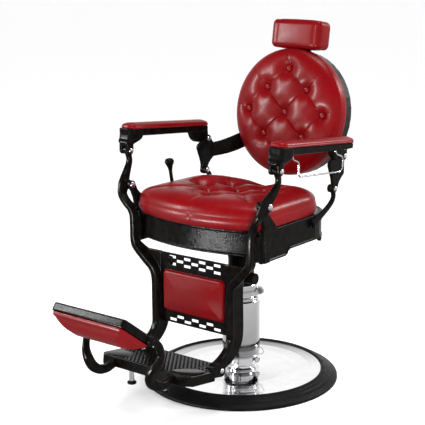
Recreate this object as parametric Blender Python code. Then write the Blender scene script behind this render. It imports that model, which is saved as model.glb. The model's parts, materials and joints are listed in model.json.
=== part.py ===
"""A classic round-backed hydraulic barber chair, in metres, +Z up.

The origin is on the floor under the middle of the round base. The sitter faces -Y, with the sitter's left
at +X. Every shape is written in the chair's own places, and each moving group hangs from an empty that
stands on its joint's axis. The back, the armrests and the leg frame are a four-bar linkage: the armrests
stay level while the back leans and the leg frame swings out.
"""

import math

import bmesh
import bpy
from mathutils import Matrix, Vector

# Fits
GAP = 0.0003
PIN_RADIUS = 0.006
BORE_RADIUS = 0.0065
LOOSE_BORE_RADIUS = 0.0075
LEAST_CORNER = 0.002
SHARP_ANGLE = math.radians(35)

# Base and pump
BASE_RADIUS = 0.330
DISC_RADIUS = 0.2735
RIM_HEIGHT = 0.035
WEIGHT_TOP = 0.0145
DISC_EDGE_TOP = 0.021
DISC_MIDDLE_TOP = 0.027
CYLINDER_RADIUS = 0.0435
CYLINDER_BORE = 0.024
CYLINDER_FLOOR = 0.085
CYLINDER_TOP = 0.255
ROD_RADIUS = 0.0215
SLEEVE_RADIUS = 0.064
SLEEVE_WALL = 0.0055
SLEEVE_BOTTOM = 0.076
SLEEVE_TOP = 0.275
COLLAR_TOP = 0.3315
SOCKET_TOP = 0.497
PEDAL_HEIGHT = 0.054
PEDAL_REACH = 0.235
PEDAL_DIRECTION = Vector((-0.6, 0.8, 0.0))

# Seat ring
RING_TOP = 0.587
RING_FRONT_BOTTOM = 0.506
RAIL_FRONT_BOTTOM = 0.486
RAIL_REAR_BOTTOM = 0.503
RING_WALL = 0.009
RING_LIP = 0.003
RAIL_X = 0.255
RAIL_FRONT_Y = -0.235
RAIL_REAR_Y = 0.060
FRONT_BAND_HALF = 0.2355
FRONT_BAND_SAG = 0.050
RING_FRONT_Y = -0.285
REAR_CORNER = 0.135
PAN_TOP = RING_TOP - 0.0005
PAN_BOTTOM = PAN_TOP - 0.012

# Seat cushion
SEAT_HALF_WIDTH = 0.2525
SEAT_FRONT_Y = -0.295
SEAT_REAR_Y = 0.145
SEAT_REAR_CORNER = 0.120
SEAT_FRONT_CORNER = 0.045
SEAT_FRONT_RADIUS = 0.529
SEAT_BOTTOM = RING_TOP + 0.0005

# The recline lever on the right rail, as (y, z) and its plane
RECLINE_PIVOT = (-0.040, 0.540)
RECLINE_X = -0.2615

# The linkage's pivots, as (y, z)
LEG_PIVOT = (-0.252, 0.676)
BACK_PIVOT = (0.141, 0.664)
LINK = (0.024, 0.108)
ARM_FRONT = (LEG_PIVOT[0] + LINK[0], LEG_PIVOT[1] + LINK[1])
ARM_REAR = (BACK_PIVOT[0] + LINK[0], BACK_PIVOT[1] + LINK[1])

# Layers across the chair, from the ring outwards, as (inner x, outer x)
EAR_LAYER = (RAIL_X + GAP, 0.2673)
POST_LAYER = (RAIL_X + GAP, 0.2665)
BRACKET_LAYER = (0.2675, 0.2795)
ARM_LUG_LAYER = (0.2805, 0.3000)
LEVER_X = 0.286
LEVER_HALF = 0.009
LEVER_BOSS = (0.2730, 0.2988)
ARM_X = 0.302

# Back and headrest
BACK_CENTRE = Vector((0.0, 0.271, 0.880))
BACK_TILT = math.radians(9)
BACK_RADIUS = 0.219
SHELL_RADIUS = 0.215
SHELL_FRONT = -0.0343
POST_FRONT = -0.0790
POST_THICKNESS = 0.008
HEAD_MIDDLE = 0.2686
HEAD_HALF_WIDTH = 0.100
HEAD_HALF_HEIGHT = 0.0490

# Armrests: the top of the casting falls towards the back
ARM_TOP_FRONT = 0.856
ARM_SLOPE = 0.0963
ARM_FRONT_END = -0.230
ARM_REAR_END = 0.181
ARM_PAD_HALF = 0.030
ARM_BEAM_FRONT = -0.195
ARM_BEAM_REAR = 0.176
ARM_BEAM_HALF = 0.022
TOWEL_RAIL_X = ARM_X + 0.004

# Leg frame and footrest
SHANK_INNER = 0.1395
SHANK_OUTER = 0.1685
APRON_FRONT = -0.250
APRON_BACK = -0.240
APRON_BOTTOM = 0.235
APRON_TOP = 0.470
GRILLE_PITCH = (0.0305, 0.0118)
GRILLE_HOLE = (0.0280, 0.0092)
APRON_PAD = (0.125, 0.277, 0.413)
FOOT_PIVOT = (-0.345, 0.158)
FOOT_REAR = Vector((0.0, -0.300, 0.155))
FOOT_TILT = math.radians(8)
FOOT_LENGTH = 0.205
FOOT_HALF_WIDTH = 0.185
FLIP_PIVOT = (-0.633, 0.329)
FLIP_TILT = math.radians(37)
TRAY_HALF_WIDTH = 0.143
NECK_X = 0.1507

SIDES = (("left", 1), ("right", -1))


# Scene and materials

def clear_scene():
    for obj in list(bpy.data.objects):
        bpy.data.objects.remove(obj, do_unlink=True)


def material(name, colour, roughness, metallic):
    made = bpy.data.materials.new(name)
    made.use_nodes = True
    shader = made.node_tree.nodes["Principled BSDF"]
    shader.inputs["Base Color"].default_value = (*colour, 1.0)
    shader.inputs["Roughness"].default_value = roughness
    shader.inputs["Metallic"].default_value = metallic
    return made


def make_materials():
    return {
        "leather": material("red leatherette", (0.36, 0.012, 0.016), 0.32, 0.0),
        "iron": material("black hammered enamel", (0.014, 0.013, 0.012), 0.38, 0.2),
        "chrome": material("polished chrome", (0.82, 0.82, 0.84), 0.06, 1.0),
        "rubber": material("black rubber", (0.012, 0.012, 0.012), 0.60, 0.0),
        "steel": material("plain steel", (0.42, 0.42, 0.43), 0.35, 1.0),
        "board": material("black stained plywood", (0.020, 0.018, 0.016), 0.70, 0.0),
    }


# Outlines in a plane

def arc(centre, radius, start, end, steps):
    """Points on an arc, angles in degrees."""
    points = []
    for i in range(steps + 1):
        angle = math.radians(start + (end - start) * i / steps)
        points.append((centre[0] + radius * math.cos(angle), centre[1] + radius * math.sin(angle)))
    return points


def rounded_rectangle(half_width, low, high, radius, steps=4):
    """Counter-clockwise, across -half_width to half_width and along low to high."""
    x = half_width - radius
    return (
        arc((x, low + radius), radius, -90, 0, steps)
        + arc((x, high - radius), radius, 0, 90, steps)
        + arc((-x, high - radius), radius, 90, 180, steps)
        + arc((-x, low + radius), radius, 180, 270, steps)
    )


def shrinking_rectangle(half_width, low, high, radius, steps=4):
    """Gives the rounded rectangle moved inwards by any distance, always with as many points."""
    def outline(shrink):
        corner = max(radius - shrink, LEAST_CORNER)
        return rounded_rectangle(half_width - shrink, low + shrink, high - shrink, corner, steps)
    return outline


# Solids

def loft(rings, closed=False):
    """A skin over rings of equal count, its ends capped unless the last ring meets the first."""
    skin = bmesh.new()
    rows = [[skin.verts.new(point) for point in ring] for ring in rings]
    pairs = list(zip(rows, rows[1:]))
    if closed:
        pairs.append((rows[-1], rows[0]))
    else:
        skin.faces.new(rows[0])
        skin.faces.new(rows[-1])
    for low, high in pairs:
        for i in range(len(low)):
            j = (i + 1) % len(low)
            skin.faces.new((low[i], low[j], high[j], high[i]))
    bmesh.ops.recalc_face_normals(skin, faces=skin.faces)
    return skin


def lathe(profile, frame=None, steps=28, closed=False):
    """Circles of the profile's (radius, height) stacked along the frame's Z axis."""
    frame = frame or Matrix()
    rings = []
    for radius, height in profile:
        angles = [2 * math.pi * i / steps for i in range(steps)]
        rings.append([frame @ Vector((radius * math.cos(a), radius * math.sin(a), height)) for a in angles])
    return loft(rings, closed)


def across(y, z, x=0.0):
    """A frame whose Z axis runs along the chair's X axis, through (y, z)."""
    return Matrix.Translation((x, y, z)) @ Matrix.Rotation(math.radians(90), 4, "Y")


def plane(origin, side, along):
    """A frame at origin whose X axis is side and whose Y axis is along."""
    side, along = Vector(side), Vector(along)
    axes = Matrix((side, along, side.cross(along))).transposed()
    return Matrix.Translation(origin) @ axes.to_4x4()


def slab(outline, low, high, frame=None):
    """An outline in the frame's XY plane, thick from low to high along its Z axis."""
    frame = frame or Matrix()
    return loft([[frame @ Vector((*point, height)) for point in outline] for height in (low, high)])


def pillow(outline_at, levels, frame=None):
    """A shrinking outline stacked at (shrink, height) levels along the frame's Z axis."""
    frame = frame or Matrix()
    rings = []
    for shrink, height in levels:
        rings.append([frame @ Vector((*point, height)) for point in outline_at(shrink)])
    return loft(rings)


def side_plate(outline, low, high):
    """An outline of (y, z) points, thick from low to high along X."""
    return loft([[(x, y, z) for y, z in outline] for x in (low, high)])


def bar(stations, side=(1.0, 0.0, 0.0), chamfer=0.3):
    """A chamfered bar through (centre, half size along side, half depth) stations."""
    centres = [Vector(station[0]) for station in stations]
    rings = []
    for i, (_, half_side, half_depth) in enumerate(stations):
        ahead = centres[min(i + 1, len(centres) - 1)]
        behind = centres[max(i - 1, 0)]
        tangent = (ahead - behind).normalized()
        u = Vector(side) - tangent * tangent.dot(Vector(side))
        u.normalize()
        v = tangent.cross(u)
        cut = chamfer * min(half_side, half_depth)
        corners = (
            (half_side, half_depth - cut), (half_side - cut, half_depth),
            (cut - half_side, half_depth), (-half_side, half_depth - cut),
            (-half_side, cut - half_depth), (cut - half_side, -half_depth),
            (half_side - cut, -half_depth), (half_side, cut - half_depth),
        )
        rings.append([centres[i] + u * a + v * b for a, b in corners])
    return loft(rings)


def wire(path, radius, steps=8):
    """A round wire along a path."""
    centres = [Vector(point) for point in path]
    side = Vector((1.0, 0.0, 0.0))
    rings = []
    for i, centre in enumerate(centres):
        ahead = centres[min(i + 1, len(centres) - 1)]
        behind = centres[max(i - 1, 0)]
        v = (ahead - behind).normalized().cross(side).normalized()
        angles = [2 * math.pi * j / steps for j in range(steps)]
        rings.append([centre + side * radius * math.cos(a) + v * radius * math.sin(a) for a in angles])
    return loft(rings)


def fence(path, profiles):
    """A wall standing on a plan path: at each point, a profile of (inward offset, z)."""
    rings = []
    for i, (x, y) in enumerate(path):
        ahead = path[min(i + 1, len(path) - 1)]
        behind = path[max(i - 1, 0)]
        inward = Vector((behind[1] - ahead[1], ahead[0] - behind[0])).normalized()
        rings.append([(x + inward.x * d, y + inward.y * d, z) for d, z in profiles[i]])
    return loft(rings)


def bolt(y, z, low, high, side, head=0.0085, rise=0.004, steps=12):
    """A pin across the chair whose shank fills low to high, with a dome head on each end."""
    profile = [
        (head * 0.45, low - rise), (head * 0.85, low - rise * 0.6), (head, low),
        (PIN_RADIUS, low), (PIN_RADIUS, high),
        (head, high), (head * 0.85, high + rise * 0.6), (head * 0.45, high + rise),
    ]
    return lathe([(radius, x * side) for radius, x in profile], across(y, z), steps)


def drum(y, z, radius, low, high, steps=16):
    """A plain cylinder across the chair."""
    return lathe([(radius, low), (radius, high)], across(y, z), steps)


# Objects

def make_body(name, parent=None, pivot=(0.0, 0.0, 0.0)):
    """An empty on the joint's axis; pivot is in the chair's own places."""
    empty = bpy.data.objects.new(f"{name}_axis", None)
    bpy.context.collection.objects.link(empty)
    empty.parent = parent
    empty["pivot"] = pivot
    empty.location = Vector(pivot) - Vector(parent["pivot"] if parent else (0, 0, 0))
    return empty


def make_node(name, skin, finish, body):
    skin.transform(Matrix.Translation(-Vector(body["pivot"])))
    mesh = bpy.data.meshes.new(name)
    skin.to_mesh(mesh)
    skin.free()
    mesh.shade_smooth()
    mesh.set_sharp_from_angle(angle=SHARP_ANGLE)
    mesh.materials.append(finish)
    obj = bpy.data.objects.new(name, mesh)
    bpy.context.collection.objects.link(obj)
    obj.parent = body
    return obj


def combine(obj, skin, operation):
    """Join or cut obj with a helper shape, which is itself no part of the chair."""
    helper = make_node(f"{obj.name}_{len(obj.modifiers)}", skin, obj.data.materials[0], obj.parent)
    helper.hide_render = True
    helper.display_type = "WIRE"
    modifier = obj.modifiers.new(operation.title(), "BOOLEAN")
    modifier.operation = operation
    modifier.object = helper


def join(obj, skin):
    combine(obj, skin, "UNION")


def cut(obj, skin):
    combine(obj, skin, "DIFFERENCE")


# Base, pump and pedal

def build_base(finish, body):
    weight = [(DISC_RADIUS - 0.002, 0.0), (DISC_RADIUS, 0.002), (DISC_RADIUS, WEIGHT_TOP)]
    make_node("base_weight", lathe(weight, steps=40), finish["steel"], body)
    hole = CYLINDER_RADIUS + GAP
    disc = [
        (DISC_RADIUS, WEIGHT_TOP + GAP), (DISC_RADIUS, DISC_EDGE_TOP),
        (0.150, 0.0255), (0.070, DISC_MIDDLE_TOP), (hole, DISC_MIDDLE_TOP), (hole, WEIGHT_TOP + GAP),
    ]
    make_node("base_disc", lathe(disc, steps=40, closed=True), finish["chrome"], body)
    inner = DISC_RADIUS + GAP
    rim = [
        (BASE_RADIUS, 0.0), (BASE_RADIUS, 0.008), (0.323, 0.014), (0.308, 0.0215), (0.295, 0.0285),
        (0.284, 0.0340), (0.279, RIM_HEIGHT), (inner, 0.031), (inner, 0.0),
    ]
    make_node("base_rim", lathe(rim, steps=40, closed=True), finish["rubber"], body)


def build_pump(finish, body):
    cylinder = [
        (CYLINDER_RADIUS, WEIGHT_TOP + GAP), (CYLINDER_RADIUS, CYLINDER_TOP),
        (CYLINDER_BORE, CYLINDER_TOP), (CYLINDER_BORE, CYLINDER_FLOOR),
    ]
    pump = make_node("pump_cylinder", lathe(cylinder), finish["chrome"], body)
    pin_frame = plane((0, 0, PEDAL_HEIGHT), PEDAL_DIRECTION, (0, 0, 1))
    cut(pump, lathe([(BORE_RADIUS, -0.05), (BORE_RADIUS, 0.05)], pin_frame, 20))
    pin = [(PIN_RADIUS, -0.0635), (PIN_RADIUS, 0.0635)]
    make_node("pedal_pin", lathe(pin, pin_frame, 20), finish["steel"], body)
    gland = [
        (0.041, CYLINDER_TOP + GAP), (0.043, CYLINDER_TOP + 0.002), (0.043, 0.264), (0.038, 0.267),
        (ROD_RADIUS + GAP, 0.267), (ROD_RADIUS + GAP, CYLINDER_TOP + GAP),
    ]
    make_node("gland_ring", lathe(gland, closed=True), finish["steel"], body)


def build_pedal(finish, body):
    """A fork that straddles the cylinder on its pin, and a bar to a rubber pad."""
    rise = 0.115
    pedal = plane((0, 0, PEDAL_HEIGHT), PEDAL_DIRECTION.cross(Vector((0, 0, 1))), PEDAL_DIRECTION)
    outer, inner = 0.0605, 0.0475
    fork = (
        [(outer, -0.012)]
        + [(outer, 0.045)]
        + arc((0, 0.045), outer, 0, 180, 12)[1:]
        + [(-outer, -0.012), (-inner, -0.012)]
        + arc((0, 0.045), inner, 180, 0, 12)
        + [(inner, -0.012)]
    )
    lever = make_node("pump_pedal", slab(fork, -0.009, 0.009, pedal), finish["chrome"], body)
    arm = [
        (pedal @ Vector((0, 0.094, 0.0)), 0.016, 0.0085),
        (pedal @ Vector((0, 0.150, 0.012)), 0.012, 0.006),
        (pedal @ Vector((0, PEDAL_REACH, rise * 0.2)), 0.012, 0.005),
    ]
    join(lever, bar(arm, side=PEDAL_DIRECTION.cross(Vector((0, 0, 1)))))
    pin_frame = plane((0, 0, PEDAL_HEIGHT), PEDAL_DIRECTION, (0, 0, 1))
    cut(lever, lathe([(BORE_RADIUS, -0.08), (BORE_RADIUS, 0.08)], pin_frame, 20))
    top = rise * 0.2 + 0.006
    outline = shrinking_rectangle(0.042, PEDAL_REACH - 0.050, PEDAL_REACH + 0.012, 0.012)
    pad = [(0.0, top), (0.0, top + 0.006), (0.004, top + 0.009)]
    make_node("pedal_pad", pillow(outline, pad, pedal), finish["rubber"], body)


def build_lift(finish, body):
    inner = SLEEVE_RADIUS - SLEEVE_WALL
    hole = ROD_RADIUS + GAP
    sleeve = [
        (SLEEVE_RADIUS, SLEEVE_BOTTOM), (SLEEVE_RADIUS, SLEEVE_TOP - 0.004),
        (SLEEVE_RADIUS - 0.003, SLEEVE_TOP), (hole, SLEEVE_TOP), (hole, SLEEVE_TOP - 0.0055),
        (inner, SLEEVE_TOP - 0.0055), (inner, SLEEVE_BOTTOM),
    ]
    make_node("lift_sleeve", lathe(sleeve, steps=32, closed=True), finish["chrome"], body)
    rod = [(ROD_RADIUS, CYLINDER_FLOOR + 0.001), (ROD_RADIUS, COLLAR_TOP)]
    make_node("piston_rod", lathe(rod, steps=28), finish["chrome"], body)
    low = SLEEVE_TOP + GAP
    collar = [
        (0.059, low), (0.059, 0.283), (0.050, 0.287), (0.050, 0.306), (0.055, 0.310),
        (0.055, COLLAR_TOP - 0.003), (0.052, COLLAR_TOP), (hole, COLLAR_TOP), (hole, low),
    ]
    ring = make_node("lift_collar", lathe(collar, closed=True), finish["chrome"], body)
    lug = plane((0, 0, 0.300), (0.8, 0.6, 0.0), (0, 0, 1))
    outline = [(0.046, -0.012), (0.064, -0.012)] + arc((0.064, 0.002), 0.014, -60, 90, 8) + [(0.046, 0.016)]
    join(ring, slab(outline, -0.010, 0.010, lug))
    cut(ring, lathe([(0.0055, -0.02), (0.0055, 0.02)], lug @ Matrix.Translation((0.064, 0.002, 0)), 16))
    spindle = [(0.0085, -0.0145), (0.0085, -0.0103), (0.005, -0.0103), (0.005, 0.0103), (0.0085, 0.0103),
               (0.0085, 0.0145)]
    make_node("collar_bolt", lathe(spindle, lug @ Matrix.Translation((0.064, 0.002, 0)), 12),
              finish["steel"], body)


# Seat

def band_profile(bottom):
    """An upright wall with a bead along its foot and its head, as (inward offset, z)."""
    return [
        (0.0, bottom), (0.0, bottom + 0.005), (RING_LIP, bottom + 0.008),
        (RING_LIP, RING_TOP - 0.008), (0.0, RING_TOP - 0.005), (0.0, RING_TOP),
        (RING_LIP + RING_WALL, RING_TOP), (RING_LIP + RING_WALL, bottom),
    ]


def front_arc(half_width, front, sag, steps):
    """Plan points from left to right along a bowed front, as (x, y)."""
    radius = (half_width**2 + sag**2) / (2 * sag)
    swing = math.degrees(math.asin(half_width / radius))
    return arc((0.0, front + radius), radius, -90 - swing, -90 + swing, steps)


def rear_path(depth=0.0, steps=6):
    """Plan points round the ring's back from left to right, this far inside its outer face."""
    start = RAIL_REAR_Y + 0.0005
    turn_y = start + 0.006
    corner_x, radius = RAIL_X - REAR_CORNER, REAR_CORNER - depth
    left = [(RAIL_X - depth, start)] + arc((corner_x, turn_y), radius, 0, 90, steps)
    return left + [(-x, y) for x, y in reversed(left)]


def build_ring(finish, body):
    front = front_arc(FRONT_BAND_HALF, RING_FRONT_Y, FRONT_BAND_SAG, 12)
    profiles = [band_profile(RING_FRONT_BOTTOM)] * len(front)
    make_node("front_band", fence(front, profiles), finish["iron"], body)
    stations = (
        (RAIL_FRONT_Y, RAIL_FRONT_BOTTOM), (-0.104, RAIL_FRONT_BOTTOM), (-0.093, RAIL_FRONT_BOTTOM + 0.005),
        (-0.088, RAIL_REAR_BOTTOM - 0.004), (-0.078, RAIL_REAR_BOTTOM), (RAIL_REAR_Y, RAIL_REAR_BOTTOM),
    )
    for name, side in SIDES:
        path = [(RAIL_X * side, y) for y, _ in stations]
        profiles = [band_profile(bottom) for _, bottom in stations]
        if side < 0:
            path.reverse()
            profiles.reverse()
        rail = make_node(f"{name}_side_rail", fence(path, profiles), finish["iron"], body)
        if side < 0:
            cut(rail, drum(*RECLINE_PIVOT, BORE_RADIUS, -0.260, -0.235, 16))
    rear = rear_path()
    rear_band = make_node("rear_band", fence(rear, [band_profile(RAIL_REAR_BOTTOM)] * len(rear)),
                          finish["iron"], body)
    hook = [(0.118, 0.489), (0.125, 0.483), (0.132, 0.489), (0.132, 0.514), (0.118, 0.514)]
    for _, side in SIDES:
        join(rear_band, side_plate(hook, side * 0.224, side * 0.236))


def seat_outline(shrink):
    """The cushion's plan moved inwards: bowed front, straight sides, round corners, counter-clockwise."""
    half = SEAT_HALF_WIDTH - shrink
    front_radius = SEAT_FRONT_RADIUS - shrink
    corner = max(SEAT_FRONT_CORNER - shrink, LEAST_CORNER)
    centre_y = SEAT_FRONT_Y + SEAT_FRONT_RADIUS
    swing = math.asin((half - corner) / (front_radius - corner))
    corner_y = centre_y - (front_radius - corner) * math.cos(swing)
    degrees = math.degrees(swing)
    front = arc((0.0, centre_y), front_radius, -90 - degrees, -90 + degrees, 12)
    turn = arc((half - corner, corner_y), corner, -90 + degrees, 0, 4)[1:]
    back_x, back_y = SEAT_HALF_WIDTH - SEAT_REAR_CORNER, SEAT_REAR_Y - SEAT_REAR_CORNER
    right = turn + arc((back_x, back_y), SEAT_REAR_CORNER - shrink, 0, 90, 7)
    return front + right + [(-x, y) for x, y in reversed(right)]


def build_seat(finish, body):
    socket = [
        (0.052, COLLAR_TOP + GAP), (0.054, 0.336), (0.054, 0.346), (0.044, 0.354), (0.044, 0.425),
        (0.060, 0.458), (0.082, 0.484), (0.084, SOCKET_TOP),
    ]
    make_node("swivel_socket", lathe(socket), finish["iron"], body)
    low, top = SOCKET_TOP + GAP, PAN_BOTTOM - GAP
    beam_x = RAIL_X - RING_LIP - RING_WALL - 0.0005
    frame = [(-0.100, 0.512), (-0.085, low), (0.045, low), (0.056, 0.512), (0.056, 0.530), (-0.100, 0.530)]
    underframe = make_node("underframe", side_plate(frame, -beam_x, beam_x), finish["iron"], body)
    rib = [(-0.190, 0.558), (-0.095, 0.520), (0.050, 0.520), (0.120, 0.558), (0.120, top), (-0.190, top)]
    for _, side in SIDES:
        join(underframe, side_plate(rib, side * 0.110, side * 0.126))
    depth = RING_LIP + RING_WALL + 0.001
    lead = front_arc(FRONT_BAND_HALF - 0.010, RING_FRONT_Y + depth, FRONT_BAND_SAG - 0.003, 10)
    corner_x, corner_y = RAIL_X - depth, RAIL_FRONT_Y + 0.015
    pan = lead + [(corner_x, corner_y)] + rear_path(depth) + [(-corner_x, corner_y)]
    make_node("seat_pan", slab(pan, PAN_BOTTOM, PAN_TOP), finish["board"], body)
    levels = [
        (0.002, SEAT_BOTTOM), (0.0, SEAT_BOTTOM + 0.004), (0.0, SEAT_BOTTOM + 0.046),
        (0.004, SEAT_BOTTOM + 0.058), (0.014, SEAT_BOTTOM + 0.068), (0.040, SEAT_BOTTOM + 0.0765),
        (0.085, SEAT_BOTTOM + 0.0815),
    ]
    make_node("seat_cushion", pillow(seat_outline, levels), finish["leather"], body)


def build_ears(finish, body):
    """Plates on the ring's sides that carry the leg frame, one bolt through each."""
    y, z = LEG_PIVOT
    outline = (
        [(-0.234, 0.490), (-0.207, 0.490), (-0.204, 0.576), (-0.168, 0.584), (-0.176, 0.606),
         (-0.190, 0.632), (-0.222, 0.656)]
        + arc((y, z), 0.0145, 15, 205, 10)
        + [(-0.251, 0.650), (-0.242, 0.628), (-0.234, 0.600)]
    )
    for name, side in SIDES:
        inner, outer = EAR_LAYER
        plate = side_plate(outline, side * inner, side * outer)
        ear = make_node(f"{name}_leg_ear", plate, finish["iron"], body)
        join(ear, drum(y, z, 0.0125, side * (inner + 0.002), side * (LEVER_BOSS[0] - 0.0005)))
        cut(ear, drum(y, z, BORE_RADIUS, side * 0.250, side * 0.290, 20))
        shank = (inner - GAP, LEVER_BOSS[1] + GAP)
        make_node(f"{name}_leg_bolt", bolt(y, z, *shank, side), finish["chrome"], body)


def build_posts(finish, body):
    """Curved posts at the ring's rear corners, with the bolts the back leans on."""
    path = ((0.036, 0.562), (0.060, 0.573), (0.100, 0.589), (0.134, 0.606), (0.157, 0.624), (0.160, 0.645))
    depth = (0.018, 0.014, 0.010, 0.010, 0.010, 0.009)
    y, z = BACK_PIVOT
    inner, outer = POST_LAYER
    for name, side in SIDES:
        middle = side * (inner + outer) / 2
        half = (outer - inner) / 2
        stations = [((middle, *point), half, d) for point, d in zip(path, depth)]
        stations.append(((middle, y + 0.006, z), half, 0.008))
        post = make_node(f"{name}_rear_post", bar(stations), finish["iron"], body)
        join(post, drum(y, z, 0.0135, side * inner, side * outer))
        cut(post, drum(y, z, BORE_RADIUS, side * 0.250, side * 0.270, 20))
        make_node(f"{name}_back_bolt", bolt(y, z, inner - GAP, BRACKET_LAYER[1] + GAP, side),
                  finish["chrome"], body)


def build_recline_lever(finish, body):
    y, z = RECLINE_PIVOT
    boss = drum(y, z, 0.013, RAIL_X * -1 - GAP, -0.2675)
    lever = make_node("recline_lever", boss, finish["iron"], body)
    join(lever, drum(y, z, PIN_RADIUS, -0.256, -0.238, 16))
    stem = bar([
        ((RECLINE_X, y, z), 0.005, 0.008),
        ((RECLINE_X, y - 0.004, 0.640), 0.005, 0.0055),
        ((RECLINE_X, y - 0.014, 0.692), 0.005, 0.005),
    ])
    join(lever, stem)
    tilt = Matrix.Rotation(math.radians(10), 4, "X")
    grip = Matrix.Translation((RECLINE_X, y - 0.0125, 0.686)) @ tilt
    knob = [
        (0.006, -0.006), (0.0065, 0.008), (0.010, 0.022), (0.0155, 0.034), (0.0165, 0.041),
        (0.013, 0.047), (0.006, 0.050),
    ]
    join(lever, lathe(knob, grip, 20))


# Back and headrest

def back_frame():
    up = (0.0, math.sin(BACK_TILT), math.cos(BACK_TILT))
    return plane(BACK_CENTRE, (1.0, 0.0, 0.0), up)


def build_back(finish, body):
    """Places on the back are (across, up the back, out towards the sitter)."""
    frame = back_frame()
    cushion = [
        (BACK_RADIUS - 0.012, SHELL_FRONT + GAP), (BACK_RADIUS - 0.003, -0.031), (BACK_RADIUS, -0.026),
        (BACK_RADIUS, -0.002), (BACK_RADIUS - 0.003, 0.009), (0.204, 0.020), (0.180, 0.030), (0.132, 0.036),
    ]
    make_node("back_cushion", lathe(cushion, frame, 40), finish["leather"], body)
    shell = [
        (0.207, SHELL_FRONT), (SHELL_RADIUS, SHELL_FRONT), (SHELL_RADIUS, -0.066), (0.205, -0.073),
        (0.120, -0.0755), (0.050, -0.0765),
    ]
    back = make_node("back_shell", lathe(shell, frame, 40), finish["board"], body)
    guide = rounded_rectangle(0.034, 0.060, 0.150, 0.010)
    join(back, slab(guide, -0.095, -0.070, frame))
    slot = rounded_rectangle(0.0178, 0.020, 0.190, 0.002, 1)
    cut(back, slab(slot, POST_FRONT - POST_THICKNESS - GAP, POST_FRONT + GAP, frame))


def build_brackets(finish, body):
    """Side castings from the back's pivots, past the armrests' pivots, to behind the shell."""
    inner, outer = BRACKET_LAYER
    half = (outer - inner) / 2
    frame = back_frame()
    outline = (
        arc(BACK_PIVOT, 0.014, 170, 330, 8)
        + [(0.162, 0.676), (0.176, 0.694), (0.190, 0.703), (0.190, 0.757), (0.184, 0.762)]
        + arc(ARM_REAR, 0.014, -20, 200, 10)
        + [(0.125, 0.765), (0.105, 0.748), (0.125, 0.705), (0.130, 0.685)]
    )
    for name, side in SIDES:
        bracket = make_node(f"{name}_back_bracket", side_plate(outline, side * inner, side * outer),
                            finish["iron"], body)
        strap = [
            ((side * (inner + outer) / 2, 0.165, 0.7280), 0.0250, half - 0.0002),
            ((side * 0.2690, 0.190, 0.7310), 0.0260, half - 0.0002),
            ((side * 0.2480, 0.222, 0.7370), 0.0275, 0.0058),
            ((side * 0.2270, 0.255, 0.7470), 0.0280, 0.0058),
            ((side * 0.2130, 0.285, 0.7570), 0.0280, 0.0055),
            (frame @ Vector((side * 0.2085, -0.111, -0.057)), 0.028, 0.0052),
            (frame @ Vector((side * 0.2040, -0.110, -0.071)), 0.028, 0.0050),
            (frame @ Vector((side * 0.1860, -0.108, -0.0800)), 0.028, 0.0048),
            (frame @ Vector((side * 0.1200, -0.102, -0.0808)), 0.022, 0.0048),
        ]
        join(bracket, bar(strap, side=frame.col[1].xyz))
        seat = frame @ Matrix.Translation((side * 0.150, -0.106, 0))
        join(bracket, lathe([(0.010, -0.0800), (0.010, -0.0746)], seat, 16))
        for y, z in (BACK_PIVOT, ARM_REAR):
            cut(bracket, drum(y, z, BORE_RADIUS, side * 0.260, side * 0.290, 20))
        make_node(f"{name}_arm_bolt", bolt(*ARM_REAR, inner - GAP, ARM_LUG_LAYER[1] + GAP, side),
                  finish["chrome"], body)


def build_headrest(finish, body):
    frame = back_frame()
    back = POST_FRONT - POST_THICKNESS
    post = rounded_rectangle(0.0175, -0.030, 0.292, 0.002, 1)
    make_node("headrest_post", slab(post, back, POST_FRONT, frame), finish["chrome"], body)
    low, high = HEAD_MIDDLE - HEAD_HALF_HEIGHT, HEAD_MIDDLE + HEAD_HALF_HEIGHT
    plate = rounded_rectangle(HEAD_HALF_WIDTH - 0.012, low + 0.010, high - 0.010, 0.010)
    make_node("headrest_plate", slab(plate, POST_FRONT + GAP, -0.0708, frame), finish["iron"], body)
    outline = shrinking_rectangle(HEAD_HALF_WIDTH, low, high, 0.018)
    levels = [
        (0.006, -0.0705), (0.0, -0.064), (0.0, -0.012), (0.003, -0.004), (0.012, 0.0025), (0.030, 0.0055),
    ]
    make_node("headrest_cushion", pillow(outline, levels, frame), finish["leather"], body)


# Armrests

def arm_top(y):
    """Height of the casting's upper face."""
    return ARM_TOP_FRONT - ARM_SLOPE * (y + 0.228)


def arm_underside(y):
    """Height of the beam's lower face."""
    return arm_top(y) - 0.0255 + 0.010 * (y - ARM_BEAM_FRONT)


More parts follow.
